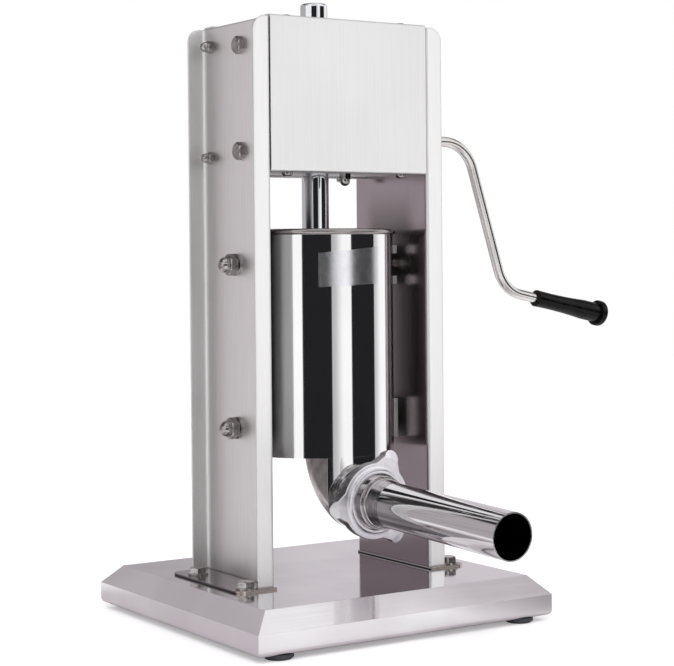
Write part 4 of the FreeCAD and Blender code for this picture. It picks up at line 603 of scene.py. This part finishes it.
def studio_floor():
    """A white floor that keeps the shadow. Polished steel sees only its nearest part, which is
    white around the tray, with painted shade: grey under it, and darkest before it on the right."""
    reach = 3.0
    beside_tray = (0.26, 0.34)
    horizon = (0.42, 0.75)
    before_tray = (-0.2, -0.15)
    past_tube = (0.09, 0.2)
    past_column = (0.1, 0.22)
    glow_level = 0.28
    mesh = bpy.data.meshes.new("floor")
    corner_points = [(-reach, -reach, 0), (reach, -reach, 0), (reach, reach, 0),
                     (-reach, reach, 0)]
    mesh.from_pydata(corner_points, [], [(0, 1, 2, 3)])
    floor = bpy.data.objects.new("floor", mesh)
    bpy.context.scene.collection.objects.link(floor)
    material = bpy.data.materials.new("white_floor")
    material.use_nodes = True
    tree = material.node_tree
    tree.nodes.remove(tree.nodes["Principled BSDF"])
    place = put(tree, "ShaderNodeTexCoord").outputs["Object"]
    far = put(tree, "ShaderNodeVectorMath", {0: place}, operation="LENGTH").outputs["Value"]
    gone = put(tree, "ShaderNodeMapRange", {"Value": far, "From Min": horizon[0],
                                            "From Max": horizon[1]},
               interpolation_type="SMOOTHSTEP").outputs["Result"]
    mirrored_ray = put(tree, "ShaderNodeLightPath").outputs["Is Glossy Ray"]
    beside = put(tree, "ShaderNodeMapRange", {"Value": far, "From Min": beside_tray[0],
                                              "From Max": beside_tray[1]},
                 interpolation_type="SMOOTHSTEP").outputs["Result"]
    spot = put(tree, "ShaderNodeSeparateXYZ", {0: place}).outputs
    ahead = put(tree, "ShaderNodeMath", {
        0: between(tree, spot["Y"], 1, 0, before_tray),
        1: between(tree, spot["X"], 1, 0.3, past_tube)}, operation="MULTIPLY").outputs[0]
    behind = put(tree, "ShaderNodeMath", {
        0: beside, 1: between(tree, spot["Y"], 0, 1, before_tray)}, operation="MULTIPLY")
    open_floor = put(tree, "ShaderNodeMath", {0: behind.outputs[0], 1: ahead},
                     operation="MAXIMUM").outputs[0]
    # Painted shade that mirrors see on the floor: darkest before the tray on the right.
    shade_before_right = put(tree, "ShaderNodeMath", {
        0: between(tree, spot["Y"], 1, 0, before_tray),
        1: between(tree, spot["X"], 0, 1, past_column)}, operation="MULTIPLY").outputs[0]
    shade = between(tree, open_floor, tint("#D3CED1"), tint("#FFFFFF"), None)
    mirrored = between(tree, shade_before_right, shade, tint("#A9A4A7"), None)
    paper = between(tree, mirrored_ray, tint("#F2F1F2"), mirrored, None)
    diffuse = put(tree, "ShaderNodeBsdfDiffuse", {"Color": paper}).outputs[0]
    level = put(tree, "ShaderNodeMapRange", {"Value": mirrored_ray, "To Min": glow_level,
                                             "To Max": 0.0}).outputs[0]
    glow = put(tree, "ShaderNodeEmission", {"Color": tint("#FFFFFF"),
                                            "Strength": level}).outputs[0]
    lit = put(tree, "ShaderNodeAddShader", {0: diffuse, 1: glow}).outputs[0]
    clear = put(tree, "ShaderNodeBsdfTransparent").outputs[0]
    hide = put(tree, "ShaderNodeMath", {0: gone, 1: mirrored_ray},
               operation="MULTIPLY").outputs[0]
    surface = put(tree, "ShaderNodeMixShader", {0: hide, 1: lit, 2: clear}).outputs[0]
    tree.links.new(surface, tree.nodes["Material Output"].inputs["Surface"])
    floor.data.materials.append(material)


def lamp(name, bearing, height, away, size, power, only=None):
    """A soft lamp at a bearing and an elevation in degrees, aimed at the machine's middle.
    A lamp for every piece is mirrored in none, and one for only some is a sheen on them."""
    middle = Vector((0, 0, 0.27))
    light = bpy.data.lights.new(name, "AREA")
    light.shape = "RECTANGLE"
    light.size, light.size_y = size
    light.energy = power
    made = bpy.data.objects.new(name, light)
    turn, rise = math.radians(bearing), math.radians(height)
    outward = Vector((math.cos(turn) * math.cos(rise), math.sin(turn) * math.cos(rise),
                      math.sin(rise)))
    made.location = middle + outward * away
    made.rotation_euler = (-outward).to_track_quat("-Z", "Y").to_euler()
    made.visible_camera = False
    made.visible_glossy = only is not None
    bpy.context.scene.collection.objects.link(made)
    if only:
        lit = bpy.data.collections.new(name + "_lights")
        for piece in only:
            lit.objects.link(NODES[piece])
        made.light_linking.receiver_collection = lit


def studio_lamps():
    """Two lamps for every piece, and two that only put a sheen on satin."""
    lamp("key", bearing=229, height=45, away=3.0, size=(1.6, 1.6), power=22)
    lamp("fill", bearing=326, height=28, away=2.4, size=(1.4, 1.4), power=8)
    lamp("front_sheen", bearing=303, height=0, away=2.0, size=(1.3, 1.6), power=5.2,
         only=SATIN)
    lamp("side_sheen", bearing=123, height=0, away=2.0, size=(1.0, 1.6), power=2.7,
         only=("left_column",))


def camera():
    """The photograph's camera, 1.65 m from the barrel's axis and a little under its rim."""
    stand = Vector((-885.81, -1397.37, 334.0)) * MM
    yaw, pitch, roll = math.radians(33.06), math.radians(0.817), 0.00844
    focal_px = 1789.14
    centre_px = (337.57, 277.95)
    sensor = 36
    ahead = Vector((math.sin(yaw) * math.cos(pitch), math.cos(yaw) * math.cos(pitch),
                    -math.sin(pitch)))
    level = Vector((math.cos(yaw), -math.sin(yaw), 0))
    down = ahead.cross(level)
    right = level * math.cos(roll) + down * math.sin(roll)
    up = -(down * math.cos(roll) - level * math.sin(roll))
    lens = bpy.data.cameras.new("camera")
    lens.sensor_width = sensor
    lens.lens = focal_px * sensor / PHOTO_WIDTH
    lens.shift_x = (PHOTO_WIDTH / 2 - centre_px[0]) / PHOTO_WIDTH
    lens.shift_y = (centre_px[1] - PHOTO_HEIGHT / 2) / PHOTO_WIDTH
    lens.clip_start = 0.05
    taker = bpy.data.objects.new("camera", lens)
    turned = Matrix((right, up, -ahead)).transposed().to_4x4()
    taker.matrix_world = Matrix.Translation(stand) @ turned
    bpy.context.scene.collection.objects.link(taker)
    bpy.context.scene.camera = taker


smooth_frame()
dress_all()
barrel_film()
# The barrel's mirror shows no nut in the photograph, so polished steel doesn't see it.
NODES["nozzle_nut"].visible_glossy = False
studio_world()
studio_floor()
camera()
studio_lamps()
bpy.context.scene.view_settings.view_transform = "Standard"
